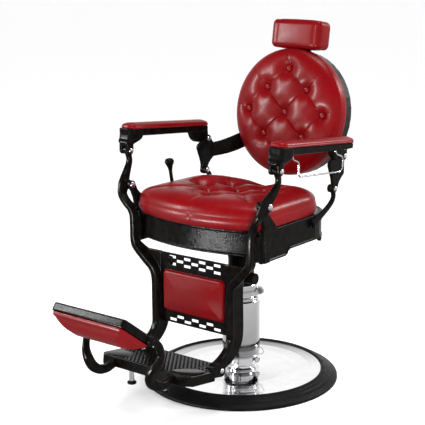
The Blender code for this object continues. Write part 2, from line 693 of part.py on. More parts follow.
def build_arm(name, side, finish, body):
    beam_outline = [(y, arm_top(y)) for y in (ARM_BEAM_REAR, ARM_BEAM_FRONT)]
    beam_outline += [(y, arm_underside(y)) for y in (ARM_BEAM_FRONT, ARM_BEAM_REAR - 0.006)]
    beam_outline.append((ARM_BEAM_REAR, arm_underside(ARM_BEAM_REAR) + 0.006))
    beam = side_plate(beam_outline, side * (ARM_X - ARM_BEAM_HALF), side * (ARM_X + ARM_BEAM_HALF))
    arm = make_node(f"{name}_arm_casting", beam, finish["iron"], body)
    levels = (
        (0.7980, 0.019, -0.246, -0.204), (0.8030, 0.021, -0.247, -0.200), (0.8120, 0.026, -0.245, -0.184),
        (0.8200, 0.028, -0.241, -0.172), (0.8440, 0.028, -0.236, -0.168),
    )
    rings = []
    for height, half, front, rear in levels:
        outline = rounded_rectangle(half, front, rear, 0.014, 4)
        rings.append([(side * ARM_X + x, y, height) for x, y in outline])
    top = rounded_rectangle(0.028, -0.236, -0.168, 0.014, 4)
    rings.append([(side * ARM_X + x, y, arm_top(y)) for x, y in top])
    join(arm, loft(rings))
    y, z = ARM_FRONT
    cheek = [(y - 0.013, 0.800), (y - 0.013, z)] + arc((y, z), 0.013, 180, 360, 8) + [(y + 0.013, 0.800)]
    for low, high in ((0.2815, 0.2922), (0.3118, 0.3225)):
        join(arm, side_plate(cheek, side * low, side * high))
        cut(arm, drum(y, z, LOOSE_BORE_RADIUS, side * (low - 0.002), side * (high + 0.002), 20))
    y, z = ARM_REAR
    knee = (
        [(0.078, 0.812), (0.086, 0.800), (0.094, 0.780), (0.112, 0.766), (0.150, 0.760)]
        + arc((y, z), 0.0140, -70, 20, 6)
        + [(0.181, 0.786), (0.176, 0.808)]
    )
    join(arm, side_plate(knee, side * ARM_LUG_LAYER[0], side * ARM_LUG_LAYER[1]))
    cut(arm, drum(y, z, BORE_RADIUS, side * 0.270, side * 0.300, 20))
    outline_at = shrinking_rectangle(ARM_PAD_HALF, ARM_FRONT_END, ARM_REAR_END, 0.022, 5)
    pad_levels = ((0.003, 0.0), (0.0, 0.003), (0.0, 0.010), (0.004, 0.0155), (0.012, 0.0190))
    rings = []
    for shrink, height in pad_levels:
        rings.append([(side * ARM_X + x, y, arm_top(y) + GAP + height) for x, y in outline_at(shrink)])
    make_node(f"{name}_arm_pad", loft(rings), finish["leather"], body)


def build_towel_rail(finish, body):
    """A bent wire under the left armrest, both ends up against the casting."""
    front, rear = -0.147, 0.098
    corners = [
        (front, arm_underside(front) - GAP), (front, 0.812), (-0.142, 0.805), (-0.118, 0.796),
        (-0.112, 0.789), (-0.112, 0.753), (-0.106, 0.747), (0.092, 0.730), (0.125, 0.728), (0.140, 0.738),
        (0.142, 0.765), (0.132, 0.778), (0.106, 0.786), (rear, 0.795), (rear, arm_underside(rear) - GAP),
    ]
    make_node("towel_rail", wire([(TOWEL_RAIL_X, y, z) for y, z in corners], 0.0026), finish["chrome"], body)


# Leg frame and footrest

def lever_stations(side):
    """The long casting from the armrest's front, round the ring's corner, down to the footplate."""
    rows = (
        (ARM_X, *ARM_FRONT, 0.0090, 0.0090), (ARM_X, -0.2160, 0.7600, 0.0090, 0.0090),
        (0.3010, -0.2180, 0.7420, 0.0090, 0.0100), (0.2975, -0.2320, 0.7180, 0.0090, 0.0130),
        (0.2900, -0.2530, 0.6920, 0.0090, 0.0185), (LEVER_X, -0.2650, 0.6720, LEVER_HALF, 0.0215),
        (0.2790, -0.2780, 0.6480, 0.0090, 0.0170), (0.2630, -0.2770, 0.6240, 0.0100, 0.0145),
        (0.2480, -0.2700, 0.6040, 0.0100, 0.0150), (0.2410, -0.2660, 0.5800, 0.0095, 0.0150),
        (0.2390, -0.2670, 0.5050, 0.0100, 0.0150), (0.2320, -0.2640, 0.4800, 0.0130, 0.0170),
        (0.1980, -0.2550, 0.4480, 0.0145, 0.0230), (0.1650, -0.2450, 0.4170, 0.0145, 0.0300),
        (0.1540, -0.2400, 0.3800, 0.0145, 0.0335), (0.1540, -0.2385, 0.2500, 0.0145, 0.0335),
        (0.1540, -0.2440, 0.2180, 0.0145, 0.0310), (0.1540, -0.2680, 0.1880, 0.0145, 0.0260),
        (0.1540, -0.3040, 0.1690, 0.0145, 0.0210), (0.1540, *FOOT_PIVOT, 0.0145, 0.0170),
    )
    return [((side * x, y, z), half_x, half_y) for x, y, z, half_x, half_y in rows]


def build_levers(finish, body):
    gusset = [(SHANK_INNER, 0.396), (0.160, 0.398), (0.198, 0.440), (0.226, 0.462), (0.222, APRON_TOP),
              (SHANK_INNER, APRON_TOP)]
    knuckle = (-0.190, 0.420)
    web = [(-0.240, 0.446), (-0.240, 0.404), (-0.190, 0.404), (-0.190, 0.436)]
    for name, side in SIDES:
        lever = make_node(f"{name}_leg_lever", bar(lever_stations(side)), finish["iron"], body)
        join(lever, side_plate(web, side * 0.153, side * 0.167))
        join(lever, drum(*knuckle, 0.0185, side * 0.150, side * 0.200))
        join(lever, loft([[(side * x, y, z) for x, z in gusset] for y in (APRON_FRONT, APRON_BACK)]))
        join(lever, drum(*ARM_FRONT, 0.0110, side * (ARM_X - 0.009), side * (ARM_X + 0.009)))
        join(lever, drum(*LEG_PIVOT, 0.0160, side * LEVER_BOSS[0], side * LEVER_BOSS[1]))
        join(lever, drum(*FOOT_PIVOT, 0.0185, side * SHANK_INNER, side * SHANK_OUTER))
        cut(lever, drum(*ARM_FRONT, BORE_RADIUS, side * 0.280, side * 0.320, 20))
        cut(lever, drum(*LEG_PIVOT, BORE_RADIUS, side * 0.265, side * 0.310, 20))
        cut(lever, drum(*FOOT_PIVOT, BORE_RADIUS, side * 0.130, side * 0.180, 20))
        pin = bolt(*ARM_FRONT, 0.2812, 0.3228, side, head=0.0085)
        make_node(f"{name}_arm_pin", pin, finish["chrome"], body)
        foot_bolt = bolt(*FOOT_PIVOT, SHANK_INNER - GAP, FOOT_HALF_WIDTH + GAP, side)
        make_node(f"{name}_foot_bolt", foot_bolt, finish["chrome"], body)


def grille_holes():
    """Centres of the chequered openings, as (x, z)."""
    pitch_x, pitch_z = GRILLE_PITCH
    rows = [(0.458 - pitch_z * i, i % 2) for i in range(3)] + [(0.258, 1), (0.258 - pitch_z, 0)]
    holes = []
    for z, shifted in rows:
        count = 3 if shifted else 4
        holes += [((i - (count - 1) / 2) * 2 * pitch_x, z) for i in range(count)]
    return holes


def build_apron(finish, body):
    half = SHANK_INNER - 0.0005
    corners = [(-half, APRON_BOTTOM), (half, APRON_BOTTOM), (half, APRON_TOP), (-half, APRON_TOP)]
    plate = loft([[(x, y, z) for x, z in corners] for y in (APRON_FRONT, APRON_BACK)])
    frame = make_node("apron_frame", plate, finish["iron"], body)
    cutter = bmesh.new()
    width, height = GRILLE_HOLE
    for x, z in grille_holes():
        place = Matrix.Translation((x, (APRON_FRONT + APRON_BACK) / 2, z))
        size = Matrix.Diagonal((width, 0.03, height, 1.0))
        bmesh.ops.create_cube(cutter, size=1.0, matrix=place @ size)
    cut(frame, cutter)
    pad_half, low, high = APRON_PAD
    outline = shrinking_rectangle(pad_half, low, high, 0.016)
    facing = plane((0, APRON_FRONT - GAP, 0), (1, 0, 0), (0, 0, 1))
    levels = [(0.004, 0.0), (0.0, 0.004), (0.002, 0.009), (0.012, 0.014), (0.030, 0.0165)]
    make_node("apron_pad", pillow(outline, levels, facing), finish["leather"], body)


def foot_frame():
    """On the footplate: across, forwards along the deck, up out of it."""
    forward = (0.0, -math.cos(FOOT_TILT), math.sin(FOOT_TILT))
    return plane(FOOT_REAR, (-1.0, 0.0, 0.0), forward)


def build_footplate(finish, body):
    frame = foot_frame()
    notch, half, length = SHANK_INNER - 0.006, FOOT_HALF_WIDTH, FOOT_LENGTH
    shoulder = 0.078
    deck = [(-notch, 0.0), (notch, 0.0), (notch, shoulder), (half, shoulder), (half, length - 0.02),
            (half - 0.02, length), (0.02 - half, length), (-half, length - 0.02), (-half, shoulder),
            (-notch, shoulder)]
    plate = make_node("footplate", slab(deck, -0.012, 0.0, frame), finish["iron"], body)
    skirt = [(half - 0.012, shoulder), (half, shoulder), (half, length - 0.02), (half - 0.02, length),
             (0.02 - half, length), (-half, length - 0.02), (-half, shoulder), (0.012 - half, shoulder),
             (0.012 - half, length - 0.024), (0.024 - half, length - 0.010), (half - 0.024, length - 0.010),
             (half - 0.012, length - 0.024)]
    join(plate, slab(skirt, -0.030, -0.006, frame))
    y, z = FOOT_PIVOT
    lug = [(y - 0.044, z - 0.010), (y, z - 0.0185)]
    lug += arc((y, z), 0.0185, -80, 90, 8)
    lug.append((y - 0.044, z + 0.0125))
    for _, side in SIDES:
        join(plate, side_plate(lug, side * (SHANK_OUTER + 0.0015), side * half))
        cut(plate, drum(y, z, BORE_RADIUS, side * (SHANK_OUTER - 0.002), side * (half + 0.002), 20))


def build_footrest_legs(finish, body):
    """Short chrome legs under the footplate's front, with rubber tips."""
    frame = foot_frame()
    for name, side in SIDES:
        x, y = side * 0.067, -0.482
        deck = (frame @ Vector((0, (FOOT_REAR.y - y) / math.cos(FOOT_TILT), -0.012))).z
        place = Matrix.Translation((x, y, 0))
        rod = [(0.0065, 0.1125), (0.0065, deck - 0.0015)]
        make_node(f"{name}_foot_rod", lathe(rod, place, 16), finish["chrome"], body)
        tip = [(0.012, 0.1010), (0.0145, 0.1030), (0.0145, 0.1070), (0.0080, 0.1122)]
        make_node(f"{name}_foot_tip", lathe(tip, place, 20), finish["rubber"], body)


def build_goosenecks(finish, body):
    """Curved necks from the footplate's front corners up to the flip pad's pivots."""
    rows = (
        (0.1180, -0.5090, 0.1660, 0.0110, 0.0130), (0.1180, -0.5400, 0.1620, 0.0110, 0.0140),
        (0.1180, -0.5760, 0.1680, 0.0110, 0.0150), (0.1190, -0.6010, 0.1850, 0.0110, 0.0160),
        (0.1240, -0.6120, 0.2080, 0.0110, 0.0160), (0.1370, -0.6080, 0.2320, 0.0090, 0.0150),
        (0.1480, -0.5970, 0.2530, 0.0062, 0.0140), (NECK_X, -0.5900, 0.2740, 0.0060, 0.0130),
        (NECK_X, -0.5950, 0.2970, 0.0060, 0.0130), (NECK_X, -0.6110, 0.3170, 0.0060, 0.0120),
        (NECK_X, -0.6280, 0.3280, 0.0060, 0.0110),
    )
    for name, side in SIDES:
        stations = [((side * x, y, z), half_x, half_y) for x, y, z, half_x, half_y in rows]
        neck = make_node(f"{name}_gooseneck", bar(stations), finish["iron"], body)
        join(neck, drum(*FLIP_PIVOT, 0.0145, side * (NECK_X - 0.0060), side * (NECK_X + 0.0060)))
        cut(neck, drum(*FLIP_PIVOT, BORE_RADIUS, side * 0.140, side * 0.165, 20))


def flip_frame():
    """On the flip pad, from its pivot: across, towards its free edge, out of its padded face."""
    along = (0.0, -math.cos(FLIP_TILT), math.sin(FLIP_TILT))
    return plane((0.0, *FLIP_PIVOT), (1.0, 0.0, 0.0), along)


def build_flip_pad(finish, body):
    frame = flip_frame()
    low, high = -0.0145, 0.1305
    back, face = -0.0155, 0.0115
    outline = shrinking_rectangle(TRAY_HALF_WIDTH, low, high, 0.010, 3)
    levels = [(0.003, back), (0.0, back + 0.003), (0.0, face)]
    tray = make_node("flip_tray", pillow(outline, levels, frame), finish["iron"], body)
    join(tray, drum(*FLIP_PIVOT, PIN_RADIUS, -0.1600, 0.1600, 16))
    pad = shrinking_rectangle(TRAY_HALF_WIDTH - 0.002, low + 0.002, high - 0.002, 0.014)
    dome = [(0.0, face + GAP), (0.0, face + 0.006), (0.008, face + 0.020), (0.024, face + 0.031),
            (0.046, face + 0.038)]
    make_node("flip_cushion", pillow(pad, dome, frame), finish["leather"], body)


def build_chair():
    clear_scene()
    finish = make_materials()
    base = make_body("base")
    pedal = make_body("pump_pedal", base, (0, 0, PEDAL_HEIGHT))
    lift = make_body("lift", base)
    seat = make_body("seat", lift)
    recline = make_body("recline_lever", seat, (RECLINE_X, *RECLINE_PIVOT))
    back = make_body("back", seat, (0, *BACK_PIVOT))
    headrest = make_body("headrest", back, tuple(BACK_CENTRE))
    leg_frame = make_body("leg_frame", seat, (0, *LEG_PIVOT))
    flip_pad = make_body("flip_pad", leg_frame, (0, *FLIP_PIVOT))

    build_base(finish, base)
    build_pump(finish, base)
    build_pedal(finish, pedal)
    build_lift(finish, lift)
    build_ring(finish, seat)
    build_seat(finish, seat)
    build_ears(finish, seat)
    build_posts(finish, seat)
    build_recline_lever(finish, recline)
    build_back(finish, back)
    build_brackets(finish, back)
    build_headrest(finish, headrest)
    for name, side in SIDES:
        arm = make_body(f"{name}_arm", back, (side * ARM_X, *ARM_REAR))
        build_arm(name, side, finish, arm)
        if name == "left":
            build_towel_rail(finish, arm)
    build_levers(finish, leg_frame)
    build_apron(finish, leg_frame)
    build_footplate(finish, leg_frame)
    build_footrest_legs(finish, leg_frame)
    build_goosenecks(finish, leg_frame)
    build_flip_pad(finish, flip_pad)


build_chair()
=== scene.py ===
"""Looks for the hydraulic barber chair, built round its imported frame.

Up is Z, the sitter faces -Y and the sitter's left is +X. Sizes are metres.
"""

import json
import math

import bmesh
import bpy
import numpy as np
from mathutils import Matrix, Vector

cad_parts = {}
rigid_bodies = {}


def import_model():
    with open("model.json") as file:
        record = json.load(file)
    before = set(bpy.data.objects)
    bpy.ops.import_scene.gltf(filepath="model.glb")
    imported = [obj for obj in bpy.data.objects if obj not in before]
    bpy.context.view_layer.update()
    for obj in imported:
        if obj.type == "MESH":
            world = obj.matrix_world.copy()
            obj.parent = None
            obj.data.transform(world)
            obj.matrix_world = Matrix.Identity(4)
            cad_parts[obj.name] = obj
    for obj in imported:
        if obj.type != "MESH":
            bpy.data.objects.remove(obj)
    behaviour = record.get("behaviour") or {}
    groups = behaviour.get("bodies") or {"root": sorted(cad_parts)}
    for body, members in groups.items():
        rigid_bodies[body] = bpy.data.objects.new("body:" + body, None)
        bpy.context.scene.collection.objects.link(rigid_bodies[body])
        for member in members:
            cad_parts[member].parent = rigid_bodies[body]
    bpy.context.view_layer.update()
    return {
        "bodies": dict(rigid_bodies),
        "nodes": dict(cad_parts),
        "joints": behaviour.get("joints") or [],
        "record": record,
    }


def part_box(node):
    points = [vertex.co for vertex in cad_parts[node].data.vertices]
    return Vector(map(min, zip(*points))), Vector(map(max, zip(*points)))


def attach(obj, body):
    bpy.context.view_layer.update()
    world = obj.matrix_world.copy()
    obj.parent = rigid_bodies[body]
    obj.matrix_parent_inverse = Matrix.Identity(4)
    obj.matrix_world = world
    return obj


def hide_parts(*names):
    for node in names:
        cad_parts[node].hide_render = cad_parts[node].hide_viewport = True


SIDES = (("left", 1), ("right", -1))

# The back leans 9 degrees; its plane passes through this point.
BACK_CENTRE = Vector((0.0, 0.271, 0.88))
BACK_TILT = math.radians(9)
BACK_RADIUS = 0.219

# The back's buttons, as (across, up) from its middle.
BACK_BUTTONS = (
    (0.0, 0.149), (-0.081, 0.081), (0.081, 0.081), (0.0, 0.0),
    (-0.153, 0.0), (0.153, 0.0), (-0.08, -0.081), (0.08, -0.081), (0.0, -0.149),
)
# Which of those buttons each pleat joins.
BACK_PLEATS = ((0, 1), (0, 2), (1, 3), (2, 3), (1, 4), (2, 5), (4, 6), (5, 7), (3, 6), (3, 7), (6, 8), (7, 8))
# Tucks run from the outer buttons to the rim.
BACK_TUCKS = (
    ((-0.006, 0.149), (-0.01, 0.212)), ((0.006, 0.149), (0.01, 0.212)),
    ((-0.081, 0.081), (-0.138, 0.14)), ((0.081, 0.081), (0.128, 0.128)),
    ((-0.153, 0.004), (-0.205, 0.01)), ((0.153, -0.004), (0.198, -0.01)),
    ((0.153, 0.004), (0.19, 0.014)), ((-0.08, -0.081), (-0.118, -0.118)),
    ((0.08, -0.081), (0.118, -0.118)), ((-0.086, -0.081), (-0.112, -0.098)),
    ((0.0, -0.149), (0.0, -0.205)),
)
# Half the pitch of the seat's tufts, and where along the chair their middle is.
SEAT_STEP = 0.07
SEAT_MIDDLE = -0.025

# How sharply the larger of two pulls on a cushion wins over the smaller.
SOFT_MAX = 2.6
# How far buttons, pleats, tucks and the line of a fold reach, as shares of a tuft's size.
BUTTON_REACH = 0.29
PLEAT_REACH = 0.19
TUCK_REACH = 0.13
CREASE_REACH = 0.018

# Across the chair: an armrest's middle, the faces of an ear and of a bracket, and a lever's foot.
ARM_X = 0.302
EAR_X = (0.2553, 0.2673)
BRACKET_X = (0.2677, 0.2793)
LEVER_FOOT_X = 0.154
# An armrest casting's upper face: where it starts, its height there and its fall towards the rear.
ARM_FRONT = -0.228
ARM_FRONT_TOP = 0.856
ARM_SLOPE = 0.0963
# The flip pad's pivot as (y, z), and the leans of its face and of the footplate.
FLIP_PIVOT = (-0.633, 0.329)
FLIP_TILT = math.radians(37)
FOOT_TILT = math.radians(8)

# Between these shares of facing the bright side, the studio's light grows between these strengths.
BRIGHT_SIDE = (-0.6, 0.8, 0.0)
BRIGHT_SHARE = (0.25, 0.9)
BRIGHT_STRENGTH = (0.65, 1.08)
# The studio's brightness by the height of the direction looked in, from straight down to straight up.
WORLD_STOPS = ((-1.0, 0.25), (-0.45, 0.45), (-0.2, 0.85), (0.0, 1.0), (0.36, 0.98), (0.5, 0.2), (1.0, 0.12))


# Finishes

def new_finish(name, metallic=0.0, coat=0.0, coat_roughness=0.1, specular=0.5):
    finish = bpy.data.materials.new(name)
    finish.use_nodes = True
    shader = finish.node_tree.nodes["Principled BSDF"]
    shader.inputs["Metallic"].default_value = metallic
    shader.inputs["Coat Weight"].default_value = coat
    shader.inputs["Coat Roughness"].default_value = coat_roughness
    shader.inputs["Specular IOR Level"].default_value = specular
    return finish


def add_noise(finish, scale, detail=3.0, stretch=(1.0, 1.0, 1.0)):
    """A noise over the object's own places, as a value near 0.5."""
    tree = finish.node_tree
    places = tree.nodes.new("ShaderNodeTexCoord")
    mapping = tree.nodes.new("ShaderNodeMapping")
    mapping.inputs["Scale"].default_value = stretch
    noise = tree.nodes.new("ShaderNodeTexNoise")
    noise.inputs["Scale"].default_value = scale
    noise.inputs["Detail"].default_value = detail
    tree.links.new(places.outputs["Object"], mapping.inputs["Vector"])
    tree.links.new(mapping.outputs["Vector"], noise.inputs["Vector"])
    return noise.outputs["Fac"]


def add_cells(finish, scale, feature="F1"):
    tree = finish.node_tree
    places = tree.nodes.new("ShaderNodeTexCoord")
    cells = tree.nodes.new("ShaderNodeTexVoronoi")
    cells.feature = feature
    cells.inputs["Scale"].default_value = scale
    tree.links.new(places.outputs["Object"], cells.inputs["Vector"])
    return cells.outputs["Distance"]


def map_range(tree, value, before, after):
    """A value mapped from one (low, high) range to another."""
    node = tree.nodes.new("ShaderNodeMapRange")
    node.inputs["From Min"].default_value, node.inputs["From Max"].default_value = before
    node.inputs["To Min"].default_value, node.inputs["To Max"].default_value = after
    tree.links.new(value, node.inputs["Value"])
    return node.outputs["Result"]


def vary_roughness(finish, value, low, high):
    """Lets the roughness run from low to high with a value that stays near 0.5."""
    tree = finish.node_tree
    tree.links.new(map_range(tree, value, (0.35, 0.65), (low, high)),
                   tree.nodes["Principled BSDF"].inputs["Roughness"])


def tint(finish, value, low, high):
    """Colours the surface from low to high by a value."""
    tree = finish.node_tree
    ramp = tree.nodes.new("ShaderNodeValToRGB")
    ramp.color_ramp.elements[0].position = 0.38
    ramp.color_ramp.elements[0].color = (*low, 1.0)
    ramp.color_ramp.elements[1].position = 0.62
    ramp.color_ramp.elements[1].color = (*high, 1.0)
    tree.links.new(value, ramp.inputs["Fac"])
    tree.links.new(ramp.outputs["Color"], tree.nodes["Principled BSDF"].inputs["Base Color"])


def add_bumps(finish, layers):
    """Stacks bumps of (height value, strength, distance)."""
    tree = finish.node_tree
    normal = None
    for height, strength, distance in layers:
        node = tree.nodes.new("ShaderNodeBump")
        node.inputs["Strength"].default_value = strength
        node.inputs["Distance"].default_value = distance
        tree.links.new(height, node.inputs["Height"])
        if normal:
            tree.links.new(normal, node.inputs["Normal"])
        normal = node.outputs["Normal"]
    shader = tree.nodes["Principled BSDF"]
    tree.links.new(normal, shader.inputs["Normal"])
    tree.links.new(normal, shader.inputs["Coat Normal"])


def leather_finish():
    finish = new_finish("oxblood_leatherette", coat=0.08, coat_roughness=0.2, specular=0.12)
    tint(finish, add_noise(finish, 7.0, 4.0), (0.132, 0.0008, 0.0019), (0.156, 0.001, 0.0025))
    vary_roughness(finish, add_noise(finish, 60.0, 4.0), 0.29, 0.4)
    add_bumps(finish, [
        (add_noise(finish, 22.0, 2.0), 0.1, 0.0016),
        (add_cells(finish, 620.0), 0.09, 0.00018),
        (add_noise(finish, 900.0, 2.0), 0.05, 0.0001),
    ])
    return finish


def iron_finish(name, grain):
    """Black enamel over cast iron; the grain is how deep the hammered pattern in it is."""
    finish = new_finish(name, coat=0.02, coat_roughness=0.08, specular=0.06)
    tint(finish, add_noise(finish, 40.0), (0.0022, 0.0019, 0.0018), (0.0048, 0.0042, 0.0038))
    vary_roughness(finish, add_noise(finish, 150.0), 0.17, 0.26)
    add_bumps(finish, [
        (add_cells(finish, 250.0, "SMOOTH_F1"), 0.2, 0.0005 * grain),
        (add_noise(finish, 520.0), 0.05, 0.0002 * grain),
    ])
    return finish


def chrome_finish():
    finish = new_finish("polished_chrome", metallic=1.0)
    tint(finish, add_noise(finish, 18.0, 4.0), (0.88, 0.88, 0.89), (0.93, 0.93, 0.94))
    vary_roughness(finish, add_noise(finish, 90.0, 5.0, (1.0, 1.0, 0.1)), 0.04, 0.12)
    add_bumps(finish, [(add_noise(finish, 400.0, 2.0, (1.0, 1.0, 0.05)), 0.06, 0.0001)])
    return finish


def rubber_finish():
    finish = new_finish("black_rubber", specular=0.08)
    tint(finish, add_noise(finish, 25.0, 4.0), (0.004, 0.004, 0.0045), (0.006, 0.006, 0.0065))
    vary_roughness(finish, add_noise(finish, 70.0, 4.0), 0.34, 0.52)
    add_bumps(finish, [(add_noise(finish, 700.0), 0.25, 0.0002)])
    return finish


def steel_finish():
    finish = new_finish("plain_steel", metallic=1.0)
    tint(finish, add_noise(finish, 30.0, 4.0), (0.34, 0.34, 0.35), (0.5, 0.5, 0.5))
    vary_roughness(finish, add_noise(finish, 120.0, 4.0, (1.0, 1.0, 0.2)), 0.24, 0.46)
    add_bumps(finish, [(add_noise(finish, 600.0, 2.0), 0.1, 0.0001)])
    return finish


def board_finish():
    """Moulded board under gloss black paint, its grain just showing."""
    finish = new_finish("painted_board", coat=0.1, specular=0.18)
    tint(finish, add_noise(finish, 15.0), (0.006, 0.006, 0.006), (0.011, 0.0105, 0.01))
    vary_roughness(finish, add_noise(finish, 60.0), 0.2, 0.36)
    add_bumps(finish, [(add_noise(finish, 90.0, 3.0, (1.0, 0.15, 1.0)), 0.15, 0.0004)])
    return finish


def make_finishes():
    return {
        "leather": leather_finish(),
        "iron": iron_finish("black_cast_enamel", 0.5),
        "hammered": iron_finish("black_hammered_enamel", 9.0),
        "chrome": chrome_finish(),
        "rubber": rubber_finish(),
        "steel": steel_finish(),
        "board": board_finish(),
    }


# Skins: a skin is (points, faces)

def ring_skin(rings, cap_first=True, cap_last=True, closed=False):
    """Joins rings of equally many points."""
    count = len(rings[0])
    points = [tuple(point) for ring in rings for point in ring]
    faces = []
    rows = len(rings) if closed else len(rings) - 1
    for row in range(rows):
        low, high = row * count, ((row + 1) % len(rings)) * count
        for i in range(count):
            j = (i + 1) % count
            faces.append((low + i, low + j, high + j, high + i))
    if cap_first and not closed:
        faces.append(tuple(reversed(range(count))))
    if cap_last and not closed:
        start = (len(rings) - 1) * count
        faces.append(tuple(range(start, start + count)))
    return points, faces


def lathe(profile, frame=None, steps=96, closed=False):
    """Circles of (radius, height), from low to high, round the frame's Z axis."""
    frame = frame or Matrix()
    angles = [2 * math.pi * i / steps for i in range(steps)]
    rings = [[frame @ Vector((radius * math.cos(angle), radius * math.sin(angle), height))
              for angle in angles] for radius, height in profile]
    return ring_skin(rings, closed=closed)


def merged(skins):
    points, faces = [], []
    for skin_points, skin_faces in skins:
        start = len(points)
        points += list(skin_points)
        faces += [tuple(start + i for i in face) for face in skin_faces]
    return points, faces


def softened(corners, radius, steps=4, closed=True):
    """A 2-D outline with each corner turned into an arc-like curve."""
    count = len(corners)
    outline = []
    for i in range(count):
        here = Vector(corners[i])
        if not closed and i in (0, count - 1):
            outline.append(tuple(here))
            continue
        before, after = Vector(corners[i - 1]), Vector(corners[(i + 1) % count])
        cut = min(radius, (before - here).length * 0.45, (after - here).length * 0.45)
        start = here + (before - here).normalized() * cut
        end = here + (after - here).normalized() * cut
        for step in range(steps + 1):
            t = step / steps
            outline.append(tuple(start.lerp(here, t).lerp(here.lerp(end, t), t)))
    return outline


def arc(centre, radius, start, end, steps):
    points = []
    for i in range(steps + 1):
        angle = math.radians(start + (end - start) * i / steps)
        points.append((centre[0] + radius * math.cos(angle), centre[1] + radius * math.sin(angle)))
    return points


def tube(path, radius, steps=16, side=(1.0, 0.0, 0.0)):
    """A round rod along a path that stays across the side direction."""
    rings = []
    side = Vector(side)
    for i, centre in enumerate(path):
        ahead, behind = path[min(i + 1, len(path) - 1)], path[max(i - 1, 0)]
        tangent = (ahead - behind).normalized()
        u = (side - tangent * tangent.dot(side)).normalized()
        v = tangent.cross(u)
        ring = []
        for j in range(steps):
            angle = 2 * math.pi * j / steps
            ring.append(centre + u * radius * math.cos(angle) + v * radius * math.sin(angle))
        rings.append(ring)
    return ring_skin(rings)


def frame_at(origin, side, along):
    """A frame whose X axis is side and Y axis is along."""
    side, along = Vector(side), Vector(along)
    axes = Matrix((side, along, side.cross(along))).transposed()
    return Matrix.Translation(origin) @ axes.to_4x4()


def across(y, z, x=0.0):
    """A frame whose Z axis runs along the chair's X axis."""
    return Matrix.Translation((x, y, z)) @ Matrix.Rotation(math.radians(90), 4, "Y")


def back_frame():
    """Across, up the back, out towards the sitter."""
    return frame_at(BACK_CENTRE, (1.0, 0.0, 0.0), (0.0, math.sin(BACK_TILT), math.cos(BACK_TILT)))


# Pieces

def add_object(name, data):
    obj = bpy.data.objects.new(name, data)
    bpy.context.scene.collection.objects.link(obj)
    return obj


class Chair:
    """Makes pieces with a finish, a body and the nodes they stand for."""

    def __init__(self, finishes):
        self.finishes = finishes

    def piece(self, name, skin, slot, body, replaces=(), sharp=40, finish=None):
        points, faces = skin
        mesh = bpy.data.meshes.new(name)
        mesh.from_pydata([tuple(point) for point in points], [], faces)
        mesh.validate()
        mesh.shade_smooth()
        mesh.set_sharp_from_angle(angle=math.radians(sharp))
        mesh.materials.append(self.finishes[finish or slot])
        obj = add_object(name, mesh)
        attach(obj, body)
        if replaces:
            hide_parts(*replaces)
        return obj

    def solid(self, *settings, **options):
        """A piece whose closed skin gets its faces turned outwards."""
        face_outwards(self.piece(*settings, **options))


def face_outwards(obj):
    skin = bmesh.new()
    skin.from_mesh(obj.data)
    bmesh.ops.recalc_face_normals(skin, faces=skin.faces)
    skin.to_mesh(obj.data)
    skin.free()


# Cushions

def segment_distance(places, start, end):
    """Distance of each place from a segment, its share of the way along, and its side."""
    start, end = np.array(start), np.array(end)
    run = end - start
    length = np.hypot(*run)
    rel = places - start
    share = np.clip(rel @ run / length ** 2, 0.0, 1.0)
    gap = rel - share[:, None] * run
    side = np.sign(rel[:, 0] * run[1] - rel[:, 1] * run[0])
    return np.hypot(gap[:, 0], gap[:, 1]), share, side


def tufting(places, buttons, pleats, tucks, depth, size, crease=1.0):
    """How far each place is drawn in by buttons, by the pleats between them and by the tucks round them."""
    pull = np.zeros(len(places))
    fold = np.zeros(len(places))
    for button in buttons:
        gap = np.hypot(places[:, 0] - button[0], places[:, 1] - button[1])
        pull += np.exp(-SOFT_MAX * (gap / (BUTTON_REACH * size)) ** 1.2)
    for start, end in pleats:
        gap, share, side = segment_distance(places, start, end)
        strength = 0.42 - 0.17 * 4 * share * (1 - share)
        pull += (strength * np.exp(-gap / (PLEAT_REACH * size))) ** SOFT_MAX
        lip = 0.034 * side * np.exp(-gap / (0.06 * size))
        fold += lip + 0.06 * np.exp(-(gap / (CREASE_REACH * size)) ** 2)
    for start, end in tucks:
        gap, share, side = segment_distance(places, start, end)
        fade = np.clip(1.15 - share, 0, 1)
        pull += (0.24 * fade * np.exp(-gap / (TUCK_REACH * size))) ** SOFT_MAX
        lip = 0.026 * side * np.exp(-gap / (0.05 * size))
        fold += (lip + 0.06 * np.exp(-(gap / (CREASE_REACH * size)) ** 2)) * fade
    return depth * (pull ** (1 / SOFT_MAX) + crease * fold)


def crown_height(share, power, sharpness):
    """A domed profile over 0..1 from the middle out."""
    return (1 - np.clip(share, 0, 1) ** power) ** (1 / sharpness)


